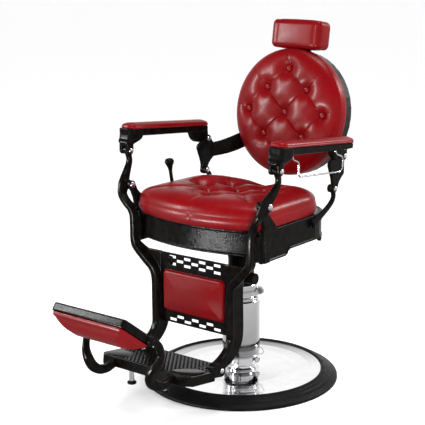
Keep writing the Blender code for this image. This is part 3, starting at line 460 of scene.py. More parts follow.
def back_skin():
    """The round cushion in its frame, as arrays of rings from the middle out and round to the rear."""
    steps, rim, low = 432, -0.004, -0.0338
    top = 0.043
    shoulder = BACK_RADIUS - 0.023 * (1 - np.linspace(0.06, 1, 26)) ** 1.7
    radii = np.concatenate([np.linspace(0.0015, 0.196, 112), shoulder])
    heights = rim + (top - rim) * crown_height(radii / BACK_RADIUS, 4.2, 2.1)
    band = [(0.2192, -0.008), (0.2196, -0.013), (0.2196, -0.019), (0.219, -0.025), (0.217, -0.03),
            (0.213, -0.033), (0.205, low)]
    band_radii, band_heights = zip(*band)
    radii = np.concatenate([radii, band_radii])
    heights = np.concatenate([heights, band_heights])
    angles = 2 * math.pi * np.arange(steps) / steps
    grid_r, grid_a = np.meshgrid(radii, angles, indexing="ij")
    x, y = grid_r * np.cos(grid_a), grid_r * np.sin(grid_a)
    z = np.repeat(heights[:, None], steps, axis=1)
    places = np.stack([x.ravel(), y.ravel()], 1)
    pleats = [(BACK_BUTTONS[first], BACK_BUTTONS[second]) for first, second in BACK_PLEATS]
    drawn = tufting(places, BACK_BUTTONS, pleats, BACK_TUCKS, depth=0.03, size=0.081).reshape(x.shape)
    drawn *= np.clip((z - rim) / 0.02, 0, 1)
    seam = 0.0016 * np.exp(-((grid_r - 0.2135) / 0.0012) ** 2) * (z > rim)
    return x, y, z - drawn - seam


def to_rings(x, y, z, frame):
    return [[frame @ Vector(point) for point in zip(*row)] for row in zip(x, y, z)]


def add_button(chair, name, body, profile, easing, place, steps):
    """A covered button, from the (radius, height) profile of its dome."""
    dome = softened(profile, *easing, closed=False)
    chair.solid(name, lathe(dome[::-1], place, steps), "leather", body, sharp=80)


def build_back(chair):
    frame = back_frame()
    chair.solid("tufted_back", ring_skin(to_rings(*back_skin(), frame)), "leather", "back",
                ["back_cushion"], sharp=75)
    profile = ((0.0001, 0.0098), (0.0096, 0.008), (0.0118, 0.0), (0.0108, -0.006))
    for i, (across_back, up) in enumerate(BACK_BUTTONS):
        place = frame @ Matrix.Translation((across_back, up, 0.015))
        add_button(chair, f"back_button_{i + 1}", "back", profile, (0.008, 7), place, 40)


def seat_outline(shrink, box):
    """Plan of the seat moved inwards, counter-clockwise: bowed front, straight sides, round rear corners."""
    low, high = box
    half = high.x - shrink
    bow, front_corner, rear_corner = 0.529, 0.045, 0.12
    front_radius = bow - shrink
    corner = max(front_corner - shrink, 0.002)
    centre_y = low.y + bow
    swing = math.degrees(math.asin((half - corner) / (front_radius - corner)))
    corner_y = centre_y - (front_radius - corner) * math.cos(math.radians(swing))
    rear_y, rear_x = high.y - rear_corner, high.x - rear_corner
    front = arc((0.0, centre_y), front_radius, -90, -90 + swing, 44)
    turn = arc((half - corner, corner_y), corner, -90 + swing, 0, 10)[1:]
    side = [(half, corner_y + (rear_y - corner_y) * i / 34) for i in range(1, 34)]
    rear = arc((rear_x, rear_y), rear_corner - shrink, 0, 90, 26)
    tail = [(rear_x * (1 - i / 18), rear[-1][1]) for i in range(1, 19)]
    right = front + turn + side + rear + tail
    return right + [(-x, y) for x, y in reversed(right[1:-1])]


def seat_lattice():
    """The seat's tufts, pleats and the tucks that run out to its rim."""
    s, m = SEAT_STEP, SEAT_MIDDLE
    tufts = [(0, m + 2 * s), (-s, m + s), (s, m + s), (0, m), (-2 * s, m), (2 * s, m),
             (-s, m - s), (s, m - s), (0, m - 2 * s)]
    pleats = []
    for i, first in enumerate(tufts):
        for second in tufts[i + 1:]:
            if abs(abs(first[0] - second[0]) - s) < 1e-6 and abs(abs(first[1] - second[1]) - s) < 1e-6:
                pleats.append((first, second))
    tucks = [((0, m - 2 * s), (0, m - 3.9 * s)), ((0, m + 2 * s), (0, m + 2.7 * s))]
    for side in (-1, 1):
        tucks.append(((side * s, m - s), (side * 2.95 * s, m - 2.95 * s)))
        tucks.append(((side * 2 * s, m), (side * 2.9 * s, m + 0.1 * s)))
        tucks.append(((side * s, m + s), (side * 1.9 * s, m + 1.9 * s)))
        tucks.append(((side * 2 * s, m - 0.03), (side * 2.6 * s, m - 0.5 * s)))
    return tufts, pleats, tucks


def seat_sink(x, y):
    """How far the tufted middle lies below the seat's crown."""
    gap = np.hypot(x / 1.25, y - SEAT_MIDDLE)
    return 0.014 * np.clip(1 - (gap / 0.15) ** 2, 0, 1)


def build_seat(chair):
    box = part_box("seat_cushion")
    low, high = box
    bottom, top = low.z + 0.0002, high.z + 0.0065
    wall_top, roll, crown_power = high.z - 0.043, 0.088, 2.25
    rows = [(0.006, bottom), (0.0018, bottom + 0.0015), (0.0, bottom + 0.004)]
    for i in range(1, 17):
        share = i / 16
        bulge = 0.0065 * math.sin(math.pi * share * 0.86)
        rows.append((-bulge, bottom + 0.004 + (wall_top - bottom - 0.004) * share))
    start = rows[-1][0]
    for i in range(1, 41):
        share = 1 - math.cos(math.radians(90 * i / 40))
        rows.append((start + (roll - start) * share,
                     wall_top + (top - wall_top) * crown_height(1 - share, crown_power, crown_power)))
    rings = [[(x, y, height) for x, y in seat_outline(shrink, box)] for shrink, height in rows]
    inner = np.array(rings[-1])
    centre = np.array([0.0, SEAT_MIDDLE, 0.0])
    for i in range(1, 95):
        keep = 1 - i / 95.0
        ring = centre + (inner - centre) * keep
        ring[:, 2] = top
        rings.append([tuple(point) for point in ring])
    grid = np.array(rings)
    places = grid[:, :, :2].reshape(-1, 2)
    tufts, pleats, tucks = seat_lattice()
    drawn = tufting(places, tufts, pleats, tucks, depth=0.04, size=1.4 * SEAT_STEP, crease=1.8)
    drawn = drawn.reshape(grid.shape[:2])
    high_up = np.clip((grid[:, :, 2] - wall_top) / (top - wall_top), 0, 1) ** 1.5
    fall = np.clip((grid[:, :, 1] + 0.02) / 0.16, 0, 1)
    lowered = 0.009 * fall * fall * (3 - 2 * fall)
    grid[:, :, 2] -= (drawn + seat_sink(grid[:, :, 0], grid[:, :, 1]) + lowered) * high_up
    groove_walls(grid, wall_top)
    chair.solid("tufted_seat", ring_skin([list(map(tuple, ring)) for ring in grid]), "leather",
                "seat", ["seat_cushion"], sharp=75)
    profile = ((0.0001, 0.005), (0.007, 0.004), (0.0088, -0.001), (0.008, -0.003))
    for i, (x, y) in enumerate(tufts):
        place = Matrix.Translation((x, y, top - 0.0372 - seat_sink(x, y)))
        add_button(chair, f"seat_button_{i + 1}", "seat", profile, (0.005, 5), place, 32)


def groove_walls(grid, wall_top):
    """Sewn seams down the seat's front wall, in the middle and at both corners."""
    centre = np.array([0.0, SEAT_MIDDLE])
    for seam_x in (0.021, 0.212, -0.212):
        for ring in grid:
            front = ring[:, 1] < -0.1
            gap = np.abs(ring[:, 0] - seam_x)
            if abs(seam_x) > 0.1:
                away = ring[:, :2] - centre
                line = np.array([seam_x, -0.262]) - centre
                line /= np.hypot(*line)
                gap = np.abs(away[:, 0] * line[1] - away[:, 1] * line[0])
            amount = 0.0013 * np.exp(-(gap / 0.0014) ** 2) + 0.0002 * np.exp(-(gap / 0.01) ** 2)
            wall = np.clip((wall_top + 0.02 - ring[:, 2]) / 0.02, 0, 1)
            inward = centre - ring[:, :2]
            inward /= np.maximum(np.hypot(inward[:, 0], inward[:, 1]), 1e-6)[:, None]
            ring[:, :2] += (amount * front * wall)[:, None] * inward


def rounded_plan(half, low, high, radius, shrink, steps=10, between=18):
    """A rounded rectangle moved inwards, with points along its straight sides as well."""
    corner = max(radius - shrink, 0.0015)
    x = half - shrink - corner
    bottom, top = low + shrink + corner, high - shrink - corner
    outline = []
    corners = ((x, bottom, -90), (x, top, 0), (-x, top, 90), (-x, bottom, 180))
    for i, (cx, cy, start) in enumerate(corners):
        turn = arc((cx, cy), corner, start, start + 90, steps)
        outline += turn
        following = corners[(i + 1) % 4]
        first = arc((following[0], following[1]), corner, following[2], following[2] + 90, 1)[0]
        last = turn[-1]
        for k in range(1, between):
            t = k / between
            outline.append((last[0] + (first[0] - last[0]) * t, last[1] + (first[1] - last[1]) * t))
    return outline


def pad_skin(half, low, high, frame, radius, thickness, crown, edge, bulge=0.0015, most=None, lean=None):
    """A stuffed pad on the frame's XY plane: its wall bulges, its edge rolls over and its face is crowned."""
    most = most or half - 0.002
    rows = [(0.004, 0.0), (0.0012, 0.0008), (0.0, 0.0025)]
    wall = thickness - edge
    for i in range(1, 7):
        rows.append((-bulge * math.sin(math.pi * i / 6), 0.0025 + (wall - 0.0025) * i / 6))
    for i in range(1, 11):
        angle = math.radians(90 * i / 10)
        rows.append((edge * (1 - math.cos(angle)) * 0.98, wall + edge * 0.97 * math.sin(angle)))
    reach = most - edge
    for i in range(1, 25):
        share = i / 24
        rows.append((edge + reach * share * 0.995, thickness - 0.0003 + crown * (1 - (1 - share) ** 2.2)))
    rings = []
    for shrink, height in rows:
        ring = []
        for x, y in rounded_plan(half, low, high, radius, shrink):
            point = Vector((x, y, height))
            if lean:
                point = lean(point)
            ring.append(frame @ point)
        rings.append(ring)
    return ring_skin(rings)


def rounded_box_skin(half, radius, puff, frame, cuts=34, seam=None):
    """A box of half sizes with rounded edges, its faces puffed, with sewn seams near both ends."""
    skin = bmesh.new()
    bmesh.ops.create_cube(skin, size=2.0)
    bmesh.ops.subdivide_edges(skin, edges=skin.edges[:], cuts=cuts, use_grid_fill=True)
    half = Vector(half)
    core = half - Vector((radius, radius, radius))
    for vert in skin.verts:
        unit = vert.co.copy()
        point = Vector((unit.x * half.x, unit.y * half.y, unit.z * half.z))
        inner = Vector(max(-core[i], min(core[i], point[i])) for i in range(3))
        away = point - inner
        if away.length > 1e-9:
            away = away.normalized() * radius
        point = inner + away
        for axis in range(3):
            others = [unit[i] for i in range(3) if i != axis]
            swell = puff[axis] * (1 - others[0] ** 2) * (1 - others[1] ** 2)
            if abs(unit[axis]) > 0.999:
                point[axis] += math.copysign(swell, unit[axis])
        if seam:
            ends = abs(abs(point.x) - (half.x - seam))
            squeeze = 0.0022 * math.exp(-(ends / 0.0018) ** 2) + 0.0012 * math.exp(-(ends / 0.008) ** 2)
            point.y -= math.copysign(squeeze * min(1, abs(point.y) / half.y), point.y)
            point.z -= math.copysign(squeeze * min(1, abs(point.z) / half.z), point.z)
        vert.co = frame @ point
    skin.verts.ensure_lookup_table()
    points = [vert.co.copy() for vert in skin.verts]
    faces = [tuple(vert.index for vert in face.verts) for face in skin.faces]
    skin.free()
    return points, faces


def build_headrest(chair):
    frame = back_frame()
    low, high = -0.0705, 0.0068
    place = frame @ Matrix.Translation((0.0, 0.2686, (low + high) / 2))
    half = (0.1005, 0.049, (high - low) / 2 - 0.001)
    skin = rounded_box_skin(half, 0.017, (0.0022, 0.003, 0.004), place, seam=0.021)
    chair.solid("headrest_pillow", skin, "leather", "headrest", ["headrest_cushion"], sharp=70)


def build_arm_pads(chair):
    for name, _ in SIDES:
        low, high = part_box(f"{name}_arm_pad")
        slope = (high.z - low.z - 0.0193) / (high.y - low.y)
        middle_x = (low.x + high.x) / 2
        half = (high.x - low.x) / 2
        frame = Matrix.Translation((middle_x, 0.0, low.z))

        def lean(point, slope=slope, rear=high.y):
            return Vector((point.x, point.y, point.z + slope * (rear - point.y)))

        skin = pad_skin(half, low.y, high.y, frame, radius=0.024, thickness=0.0165, crown=0.004,
                        edge=0.0105, lean=lean)
        chair.solid(f"{name}_arm_cushion", skin, "leather", f"{name}_arm", [f"{name}_arm_pad"], sharp=70)


def build_apron_pad(chair):
    low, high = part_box("apron_pad")
    frame = frame_at((0.0, high.y, 0.0), (1.0, 0.0, 0.0), (0.0, 0.0, 1.0))
    half = (high.x - low.x) / 2
    skin = pad_skin(half, low.z, high.z, frame, radius=0.016, thickness=0.012, crown=0.007, edge=0.01,
                    most=0.066)
    chair.solid("apron_cushion", skin, "leather", "leg_frame", ["apron_pad"], sharp=70)


def flip_frame():
    """On the flip pad, from its pivot: across, towards its free edge, out of its padded face."""
    return frame_at((0.0, *FLIP_PIVOT), (1.0, 0.0, 0.0), (0.0, -math.cos(FLIP_TILT), math.sin(FLIP_TILT)))


def build_flip_pad(chair):
    frame = flip_frame() @ Matrix.Translation((0.0, 0.0, 0.0118))
    skin = pad_skin(0.1408, -0.0123, 0.1283, frame, radius=0.016, thickness=0.014, crown=0.025, edge=0.012,
                    most=0.068)
    chair.solid("flip_pad_cushion", skin, "leather", "flip_pad", ["flip_cushion"], sharp=70)


# Base and column

def build_base(chair):
    disc_low, disc_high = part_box("base_disc")
    radius = disc_high.x
    bore = 0.0438
    disc = softened([(radius, disc_low.z), (radius, 0.03), (0.262, 0.0286), (0.235, 0.0266), (0.19, 0.0256),
                     (0.15, 0.0256), (0.07, disc_high.z), (bore, disc_high.z), (bore, disc_low.z)], 0.0012, 3)
    chair.piece("mirror_disc", lathe(disc, steps=192, closed=True), "chrome", "base", ["base_disc"], sharp=30)
    rim_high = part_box("base_rim")[1]
    outer, top, inner = rim_high.x, rim_high.z, radius + 0.0003
    steps = [(outer, 0.0), (outer + 0.0002, 0.0075), (0.326, 0.0118), (0.3205, 0.0146), (0.319, 0.016),
             (0.312, 0.0196), (0.306, 0.0222), (0.3045, 0.0238), (0.2985, 0.0272), (0.2925, 0.03),
             (0.291, 0.0314), (0.285, 0.0338), (0.28, top), (0.2768, top), (0.275, 0.033),
             (inner, 0.0305), (inner, 0.0)]
    chair.piece("dished_rim", lathe(softened(steps, 0.0018, 4), steps=224, closed=True), "rubber", "base",
                ["base_rim"], sharp=60)


def build_column(chair):
    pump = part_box("pump_cylinder")
    radius, top = 0.0435, pump[1].z
    foot = pump[0].z
    profile = [(radius + 0.01, foot + 0.0128), (radius + 0.01, foot + 0.0165),
               (radius + 0.0035, foot + 0.0195), (radius + 0.001, foot + 0.026), (radius, foot + 0.034),
               (radius, top - 0.002), (radius - 0.003, top), (0.024, top), (0.024, 0.085)]
    barrel = [(radius, foot)] + softened(profile, 0.002, 3, closed=False)
    chair.piece("pump_barrel", lathe(barrel, steps=128), "chrome", "base", ["pump_cylinder"], sharp=50)
    sleeve_low, sleeve_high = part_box("lift_sleeve")
    outer, inner, bore = sleeve_high.x, sleeve_high.x - 0.0055, 0.0218
    low, high = sleeve_low.z, sleeve_high.z
    profile = [(outer + 0.0004, low), (outer + 0.0004, low + 0.004), (outer - 0.0008, low + 0.0052),
               (outer - 0.0008, low + 0.0062), (outer, low + 0.0075),
               (outer, high - 0.004), (outer - 0.003, high), (bore, high), (bore, high - 0.0055),
               (inner, high - 0.0055), (inner, low)]
    sleeve = lathe(softened(profile, 0.0012, 3), steps=144, closed=True)
    chair.piece("chrome_sleeve", sleeve, "chrome", "lift", ["lift_sleeve"], sharp=45)
    bends = ((0.0618, 0.019, 0.006), (0.07, 0.0215, 0.004), (0.079, 0.024, 0.015),
             (0.071, 0.0215, 0.028), (0.0618, 0.019, 0.03))
    clip = [Vector((x, y, low + up)) for x, y, up in bends]
    path = [point for a, b in zip(clip, clip[1:]) for point in (a, a.lerp(b, 0.5))] + [clip[-1]]
    chair.piece("sleeve_clip", tube(path, 0.0011, 10, side=(-0.3, 0.95, 0.0)), "steel", "lift")


def build_socket(chair):
    low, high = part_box("swivel_socket")
    profile = [(0.052, low.z), (0.0545, low.z + 0.004), (0.0545, low.z + 0.014), (0.05, low.z + 0.0165),
               (0.0455, low.z + 0.023), (0.044, low.z + 0.035), (0.044, 0.415), (0.048, 0.434),
               (0.057, 0.453), (0.07, 0.471), (0.081, 0.483), (0.0838, 0.489), (0.084, high.z)]
    chair.piece("flared_socket", lathe(softened(profile, 0.004, 4, closed=False), steps=96), "iron", "seat",
                ["swivel_socket"], sharp=50)


# Bolts

def dome_bolt(low, high, head, rise, frame, shank=0.006):
    """A shank with a polished dome on each end, along the frame's Z axis."""
    def dome(at, outwards):
        turn = []
        for i in range(9):
            angle = math.radians(90 * i / 8)
            turn.append((max(head * math.cos(angle), 0.0002), at + outwards * rise * math.sin(angle)))
        return turn
    profile = list(reversed(dome(low, -1))) + [(shank, low), (shank, high)] + dome(high, 1)
    return lathe(profile, frame, 40)


def build_bolts(chair):
    bolts = (("leg_bolt", "seat"), ("back_bolt", "seat"), ("arm_bolt", "back"), ("arm_pin", "leg_frame"),
             ("foot_bolt", "leg_frame"))
    rise = 0.004
    for name, _ in SIDES:
        for kind, body in bolts:
            node = f"{name}_{kind}"
            low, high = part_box(node)
            head = (high.z - low.z) / 2
            if kind == "leg_bolt":
                head *= 1.25
            skin = dome_bolt(low.x + rise, high.x - rise, head, rise + 0.0006, across(*pivot_of(node)))
            chair.solid(f"{node}_chrome", skin, "chrome", body, [node])


# Castings that keep the node's shape, with a cast surface

CASTINGS = {
    "rear_band": 0.002, "left_side_rail": 0.0016, "right_side_rail": 0.0016,
    "recline_lever": 0.0011, "pump_pedal": 0.0016, "lift_collar": 0.0014, "underframe": 0.003,
}


def cast_surface(obj, voxel, rounds=4):
    """Fuses a casting's solids and rounds its edges by a fine remesh and a little smoothing."""
    remesh = obj.modifiers.new("cast", "REMESH")
    remesh.mode = "VOXEL"
    remesh.voxel_size = voxel
    remesh.use_smooth_shade = True
    smooth = obj.modifiers.new("ease", "SMOOTH")
    smooth.factor = 0.5
    smooth.iterations = rounds


def finish_nodes(frame, finishes):
    slots = {row["node"]: row["material_slot"] for row in frame["record"]["subparts"]}
    for name, node in frame["nodes"].items():
        node.data.materials.clear()
        node.data.materials.append(finishes[slots[name]])
        if name in CASTINGS:
            cast_surface(node, CASTINGS[name])


# Castings modelled anew, from overlapping solids that the remesh fuses

def eased(rows, steps=5):
    """Rows of numbers made denser by a curve through each column."""
    values = np.array(rows, float)
    padded = np.vstack([2 * values[0] - values[1], values, 2 * values[-1] - values[-2]])
    dense = []
    for i in range(1, len(padded) - 2):
        a, b, c, d = padded[i - 1:i + 3]
        for step in range(steps):
            t = step / steps
            dense.append(0.5 * (2 * b + (c - a) * t + (2 * a - 5 * b + 4 * c - d) * t * t
                                + (3 * b - a - 3 * c + d) * t ** 3))
    dense.append(padded[-2])
    return dense


def cast_bar(rows, side=(1.0, 0.0, 0.0), fluted=0.0, power=0.42, count=32):
    """A soft square bar through (x, y, z, half side, half depth) rows; its sides may be fluted."""
    stations = eased(rows)
    side = Vector(side)
    rings = []
    for i, station in enumerate(stations):
        ahead = Vector(stations[min(i + 1, len(stations) - 1)][:3])
        behind = Vector(stations[max(i - 1, 0)][:3])
        tangent = (ahead - behind).normalized()
        u = (side - tangent * tangent.dot(side)).normalized()
        v = tangent.cross(u)
        ring = []
        for j in range(count):
            angle = 2 * math.pi * (j + 0.5) / count
            cos, sin = math.cos(angle), math.sin(angle)
            across_bar = math.copysign(abs(cos) ** power, cos)
            deep = math.copysign(abs(sin) ** power, sin)
            if abs(deep) < 0.62:
                across_bar *= 1 - fluted
            ring.append(Vector(station[:3]) + u * across_bar * station[3] + v * deep * station[4])
        rings.append(ring)
    return ring_skin(rings)


def drum(pivot, radius, low, high, steps=40):
    return lathe([(radius, low), (radius, high)], across(*pivot), steps)


def plate(outline, low, high):
    """An outline of (y, z) points, thick from low to high along X."""
    return ring_skin([[(x, y, z) for y, z in outline] for x in (low, high)])


def pivot_of(node):
    """The (y, z) of a bolt that runs across the chair."""
    low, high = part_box(node)
    return (low.y + high.y) / 2, (low.z + high.z) / 2


def oriented(skin):
    """A closed skin with its faces turned outwards."""
    points, faces = skin
    area = 0.0
    for face in faces:
        first = Vector(points[face[0]])
        for second, third in zip(face[1:], face[2:]):
            area += first.dot(Vector(points[second]).cross(Vector(points[third])))
    if area < 0:
        faces = [tuple(reversed(face)) for face in faces]
    return points, faces


def on_both_sides(build):
    """Makes a builder of one side into a builder of the left side and then the right."""
    def build_pair(chair):
        for name, side in SIDES:
            build(chair, name, side)
    return build_pair


def on_side(rows, side):
    """Rows that start with x, moved to a side of the chair."""
    return [(side * x, *rest) for x, *rest in rows]


def cast(chair, name, skins, body, node, voxel=0.0016, rounds=5):
    obj = chair.piece(name, merged([oriented(skin) for skin in skins]), "iron", body, [node])
    cast_surface(obj, voxel, rounds)


def build_front_band(chair):
    """The seat ring's bowed front, with a bead along its foot and its head."""
    low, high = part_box("front_band")
    sag, lip, depth = 0.05, 0.003, 0.012
    radius = (high.x ** 2 + sag ** 2) / (2 * sag)
    swing = math.asin(high.x / radius)
    profile = softened([(0.0, low.z), (0.0, low.z + 0.005), (lip, low.z + 0.008), (lip, high.z - 0.008),
                        (0.0, high.z - 0.005), (0.0, high.z), (depth, high.z), (depth, low.z)], 0.0015, 3)
    centre_y = low.y + radius
    rings = []
    for i in range(81):
        angle = swing * (i / 40 - 1)
        rings.append([((radius - inward) * math.sin(angle), centre_y - (radius - inward) * math.cos(angle), z)
                      for inward, z in profile])
    band = oriented(ring_skin(rings))
    chair.piece("bowed_front_band", band, "iron", "seat", ["front_band"], sharp=50, finish="hammered")


@on_both_sides
def build_levers(chair, name, side):
    """The long castings from the armrests' fronts, round the seat ring, down to the footplate."""
    arm, leg, foot = (pivot_of(f"{name}_{kind}") for kind in ("arm_pin", "leg_bolt", "foot_bolt"))
    rows = (
        (0.302, *arm, 0.009, 0.0095), (0.302, -0.217, 0.762, 0.0085, 0.0085),
        (0.301, -0.2175, 0.742, 0.0085, 0.0095), (0.2975, -0.232, 0.718, 0.009, 0.0125),
        (0.29, -0.253, 0.692, 0.0095, 0.0175), (0.286, -0.265, 0.672, 0.0095, 0.0205),
        (0.279, -0.277, 0.648, 0.0095, 0.017), (0.263, -0.277, 0.624, 0.01, 0.0145),
        (0.248, -0.27, 0.604, 0.01, 0.0145), (0.241, -0.266, 0.58, 0.01, 0.015),
        (0.239, -0.2665, 0.54, 0.01, 0.015), (0.2385, -0.2665, 0.505, 0.0105, 0.015),
        (0.23, -0.264, 0.479, 0.013, 0.017), (0.198, -0.255, 0.448, 0.0145, 0.023),
        (0.165, -0.245, 0.417, 0.0145, 0.03), (LEVER_FOOT_X, -0.24, 0.38, 0.0145, 0.0335),
        (LEVER_FOOT_X, -0.239, 0.31, 0.0145, 0.0335), (LEVER_FOOT_X, -0.239, 0.25, 0.0145, 0.0335),
        (LEVER_FOOT_X, -0.244, 0.218, 0.0145, 0.031), (LEVER_FOOT_X, -0.268, 0.188, 0.0145, 0.026),
        (LEVER_FOOT_X, -0.304, 0.169, 0.0145, 0.021), (LEVER_FOOT_X, *foot, 0.0145, 0.017),
    )
    rows = on_side(rows, side)
    gusset = ((0.1395, 0.396), (0.16, 0.398), (0.198, 0.44), (0.226, 0.462), (0.222, 0.47),
              (0.1395, 0.47))
    web = [(-0.24, 0.446), (-0.24, 0.404), (-0.19, 0.404), (-0.19, 0.436)]
    skins = [
        cast_bar(rows, fluted=0.12),
        plate(web, side * 0.153, side * 0.167),
        drum((-0.19, 0.42), 0.0185, side * 0.15, side * 0.2),
        ring_skin([[(side * x, y, z) for x, z in gusset] for y in (-0.25, -0.24)]),
        drum(arm, 0.0112, side * 0.2932, side * 0.3108),
        drum(leg, 0.0165, side * 0.2731, side * 0.2987),
        drum(foot, 0.0188, side * 0.1397, side * 0.1685),
    ]
    cast(chair, f"{name}_lever_casting", skins, "leg_frame", f"{name}_leg_lever", voxel=0.0018, rounds=5)


@on_both_sides
def build_goosenecks(chair, name, side):
    """Curved necks from the footplate's front corners up to the flip pad's pivots."""
    rows = (
        (0.118, -0.509, 0.166, 0.011, 0.013), (0.118, -0.54, 0.16, 0.0115, 0.014),
        (0.118, -0.572, 0.165, 0.0115, 0.015), (0.1185, -0.598, 0.182, 0.0115, 0.016),
        (0.124, -0.611, 0.207, 0.0115, 0.016), (0.137, -0.608, 0.232, 0.0095, 0.015),
        (0.1475, -0.597, 0.253, 0.0068, 0.014), (0.1507, -0.59, 0.274, 0.006, 0.013),
        (0.1507, -0.595, 0.297, 0.006, 0.013), (0.1507, -0.611, 0.317, 0.006, 0.012),
        (0.1507, -0.628, 0.328, 0.006, 0.011),
    )
    rows = on_side(rows, side)
    skins = [cast_bar(rows, power=0.6), drum(FLIP_PIVOT, 0.0145, side * 0.1447, side * 0.1567)]
    cast(chair, f"{name}_neck_casting", skins, "leg_frame", f"{name}_gooseneck", voxel=0.0015, rounds=6)


@on_both_sides
def build_ears(chair, name, side):
    """Plates on the ring's sides with two ribs down their feet, one bolt through each."""
    y, z = pivot_of(f"{name}_leg_bolt")
    outline = (
        [(-0.234, 0.49), (-0.207, 0.49), (-0.205, 0.54), (-0.203, 0.566), (-0.192, 0.578), (-0.17, 0.585),
         (-0.174, 0.6), (-0.19, 0.618), (-0.208, 0.638), (-0.228, 0.658)]
        + arc((y, z), 0.0145, 15, 205, 18)
        + [(-0.251, 0.65), (-0.242, 0.628), (-0.236, 0.6), (-0.234, 0.56)]
    )
    inner, outer = (side * x for x in EAR_X)
    skins = [plate(outline, inner, outer), drum((y, z), 0.0125, side * 0.2573, side * 0.2725)]
    for x in (0.2562, 0.2666):
        rib = [(side * x, -0.2352, height, 0.0027, 0.0027) for height in (0.492, 0.53, 0.57)]
        skins.append(cast_bar(rib, power=1.0))
    corner = [(side * x, y) for x, y in ((0.256, -0.21), (0.256, -0.2345), (0.2375, -0.2492),
                                         (0.233, -0.244), (0.248, -0.231), (0.248, -0.21))]
    skins.append(ring_skin([[(x, y, height) for x, y in corner] for height in (0.492, 0.572)]))
    cast(chair, f"{name}_ear_casting", skins, "seat", f"{name}_leg_ear", voxel=0.0013, rounds=3)


@on_both_sides
def build_posts(chair, name, side):
    y, z = pivot_of(f"{name}_back_bolt")
    rows = (
        (0.036, 0.562, 0.018), (0.06, 0.573, 0.0145), (0.1, 0.589, 0.0105), (0.134, 0.606, 0.0095),
        (0.156, 0.624, 0.0098), (0.159, 0.645, 0.009), (y + 0.004, z - 0.004, 0.008),
    )
    rows = [(side * 0.2609, py, pz, 0.0056, depth) for py, pz, depth in rows]
    skins = [cast_bar(rows, power=0.55), drum((y, z), 0.0135, side * 0.2553, side * 0.2665)]
    cast(chair, f"{name}_post_casting", skins, "seat", f"{name}_rear_post", voxel=0.0013, rounds=5)


@on_both_sides
def build_brackets(chair, name, side):
    """Side castings from the back's pivots, past the armrests' pivots, to behind the shell."""
    frame = back_frame()
    low_pivot, arm_pivot = pivot_of(f"{name}_back_bolt"), pivot_of(f"{name}_arm_bolt")
    outline = softened(
        [(0.128, 0.668), (0.13, 0.655), (0.141, 0.65), (0.153, 0.654), (0.158, 0.668), (0.166, 0.684),
         (0.182, 0.698), (0.196, 0.706), (0.196, 0.755), (0.184, 0.766), (0.178, 0.78), (0.165, 0.786),
         (0.151, 0.78), (0.148, 0.771), (0.126, 0.766), (0.105, 0.752), (0.112, 0.732), (0.124, 0.706),
         (0.13, 0.684)], 0.008, 4)
    strap = (
        (side * 0.2735, 0.158, 0.73, 0.029, 0.0057), (side * 0.2735, 0.172, 0.729, 0.0262, 0.0057),
        (side * 0.269, 0.19, 0.731, 0.025, 0.0057), (side * 0.248, 0.222, 0.737, 0.0262, 0.0056),
        (side * 0.227, 0.255, 0.747, 0.0275, 0.0056), (side * 0.213, 0.285, 0.757, 0.028, 0.0053),
        (*(frame @ Vector((side * 0.2085, -0.111, -0.057))), 0.028, 0.005),
        (*(frame @ Vector((side * 0.204, -0.11, -0.071))), 0.028, 0.0048),
        (*(frame @ Vector((side * 0.186, -0.108, -0.08))), 0.028, 0.0046),
        (*(frame @ Vector((side * 0.12, -0.102, -0.0808))), 0.022, 0.0046),
    )
    seat = frame @ Matrix.Translation((side * 0.15, -0.106, 0))
    inner, outer = (side * x for x in BRACKET_X)
    skins = [plate(outline, inner, outer), cast_bar(strap, side=frame.col[1].xyz),
             drum(arm_pivot, 0.015, inner, side * 0.2798), drum(low_pivot, 0.0142, inner, outer),
             lathe([(0.0105, -0.08), (0.0105, -0.0748)], seat, 32)]
    cast(chair, f"{name}_bracket_casting", skins, "back", f"{name}_back_bracket", voxel=0.0015, rounds=6)


def arm_top(y):
    """Height of the armrest casting's upper face."""
    return ARM_FRONT_TOP - ARM_SLOPE * (y - ARM_FRONT)


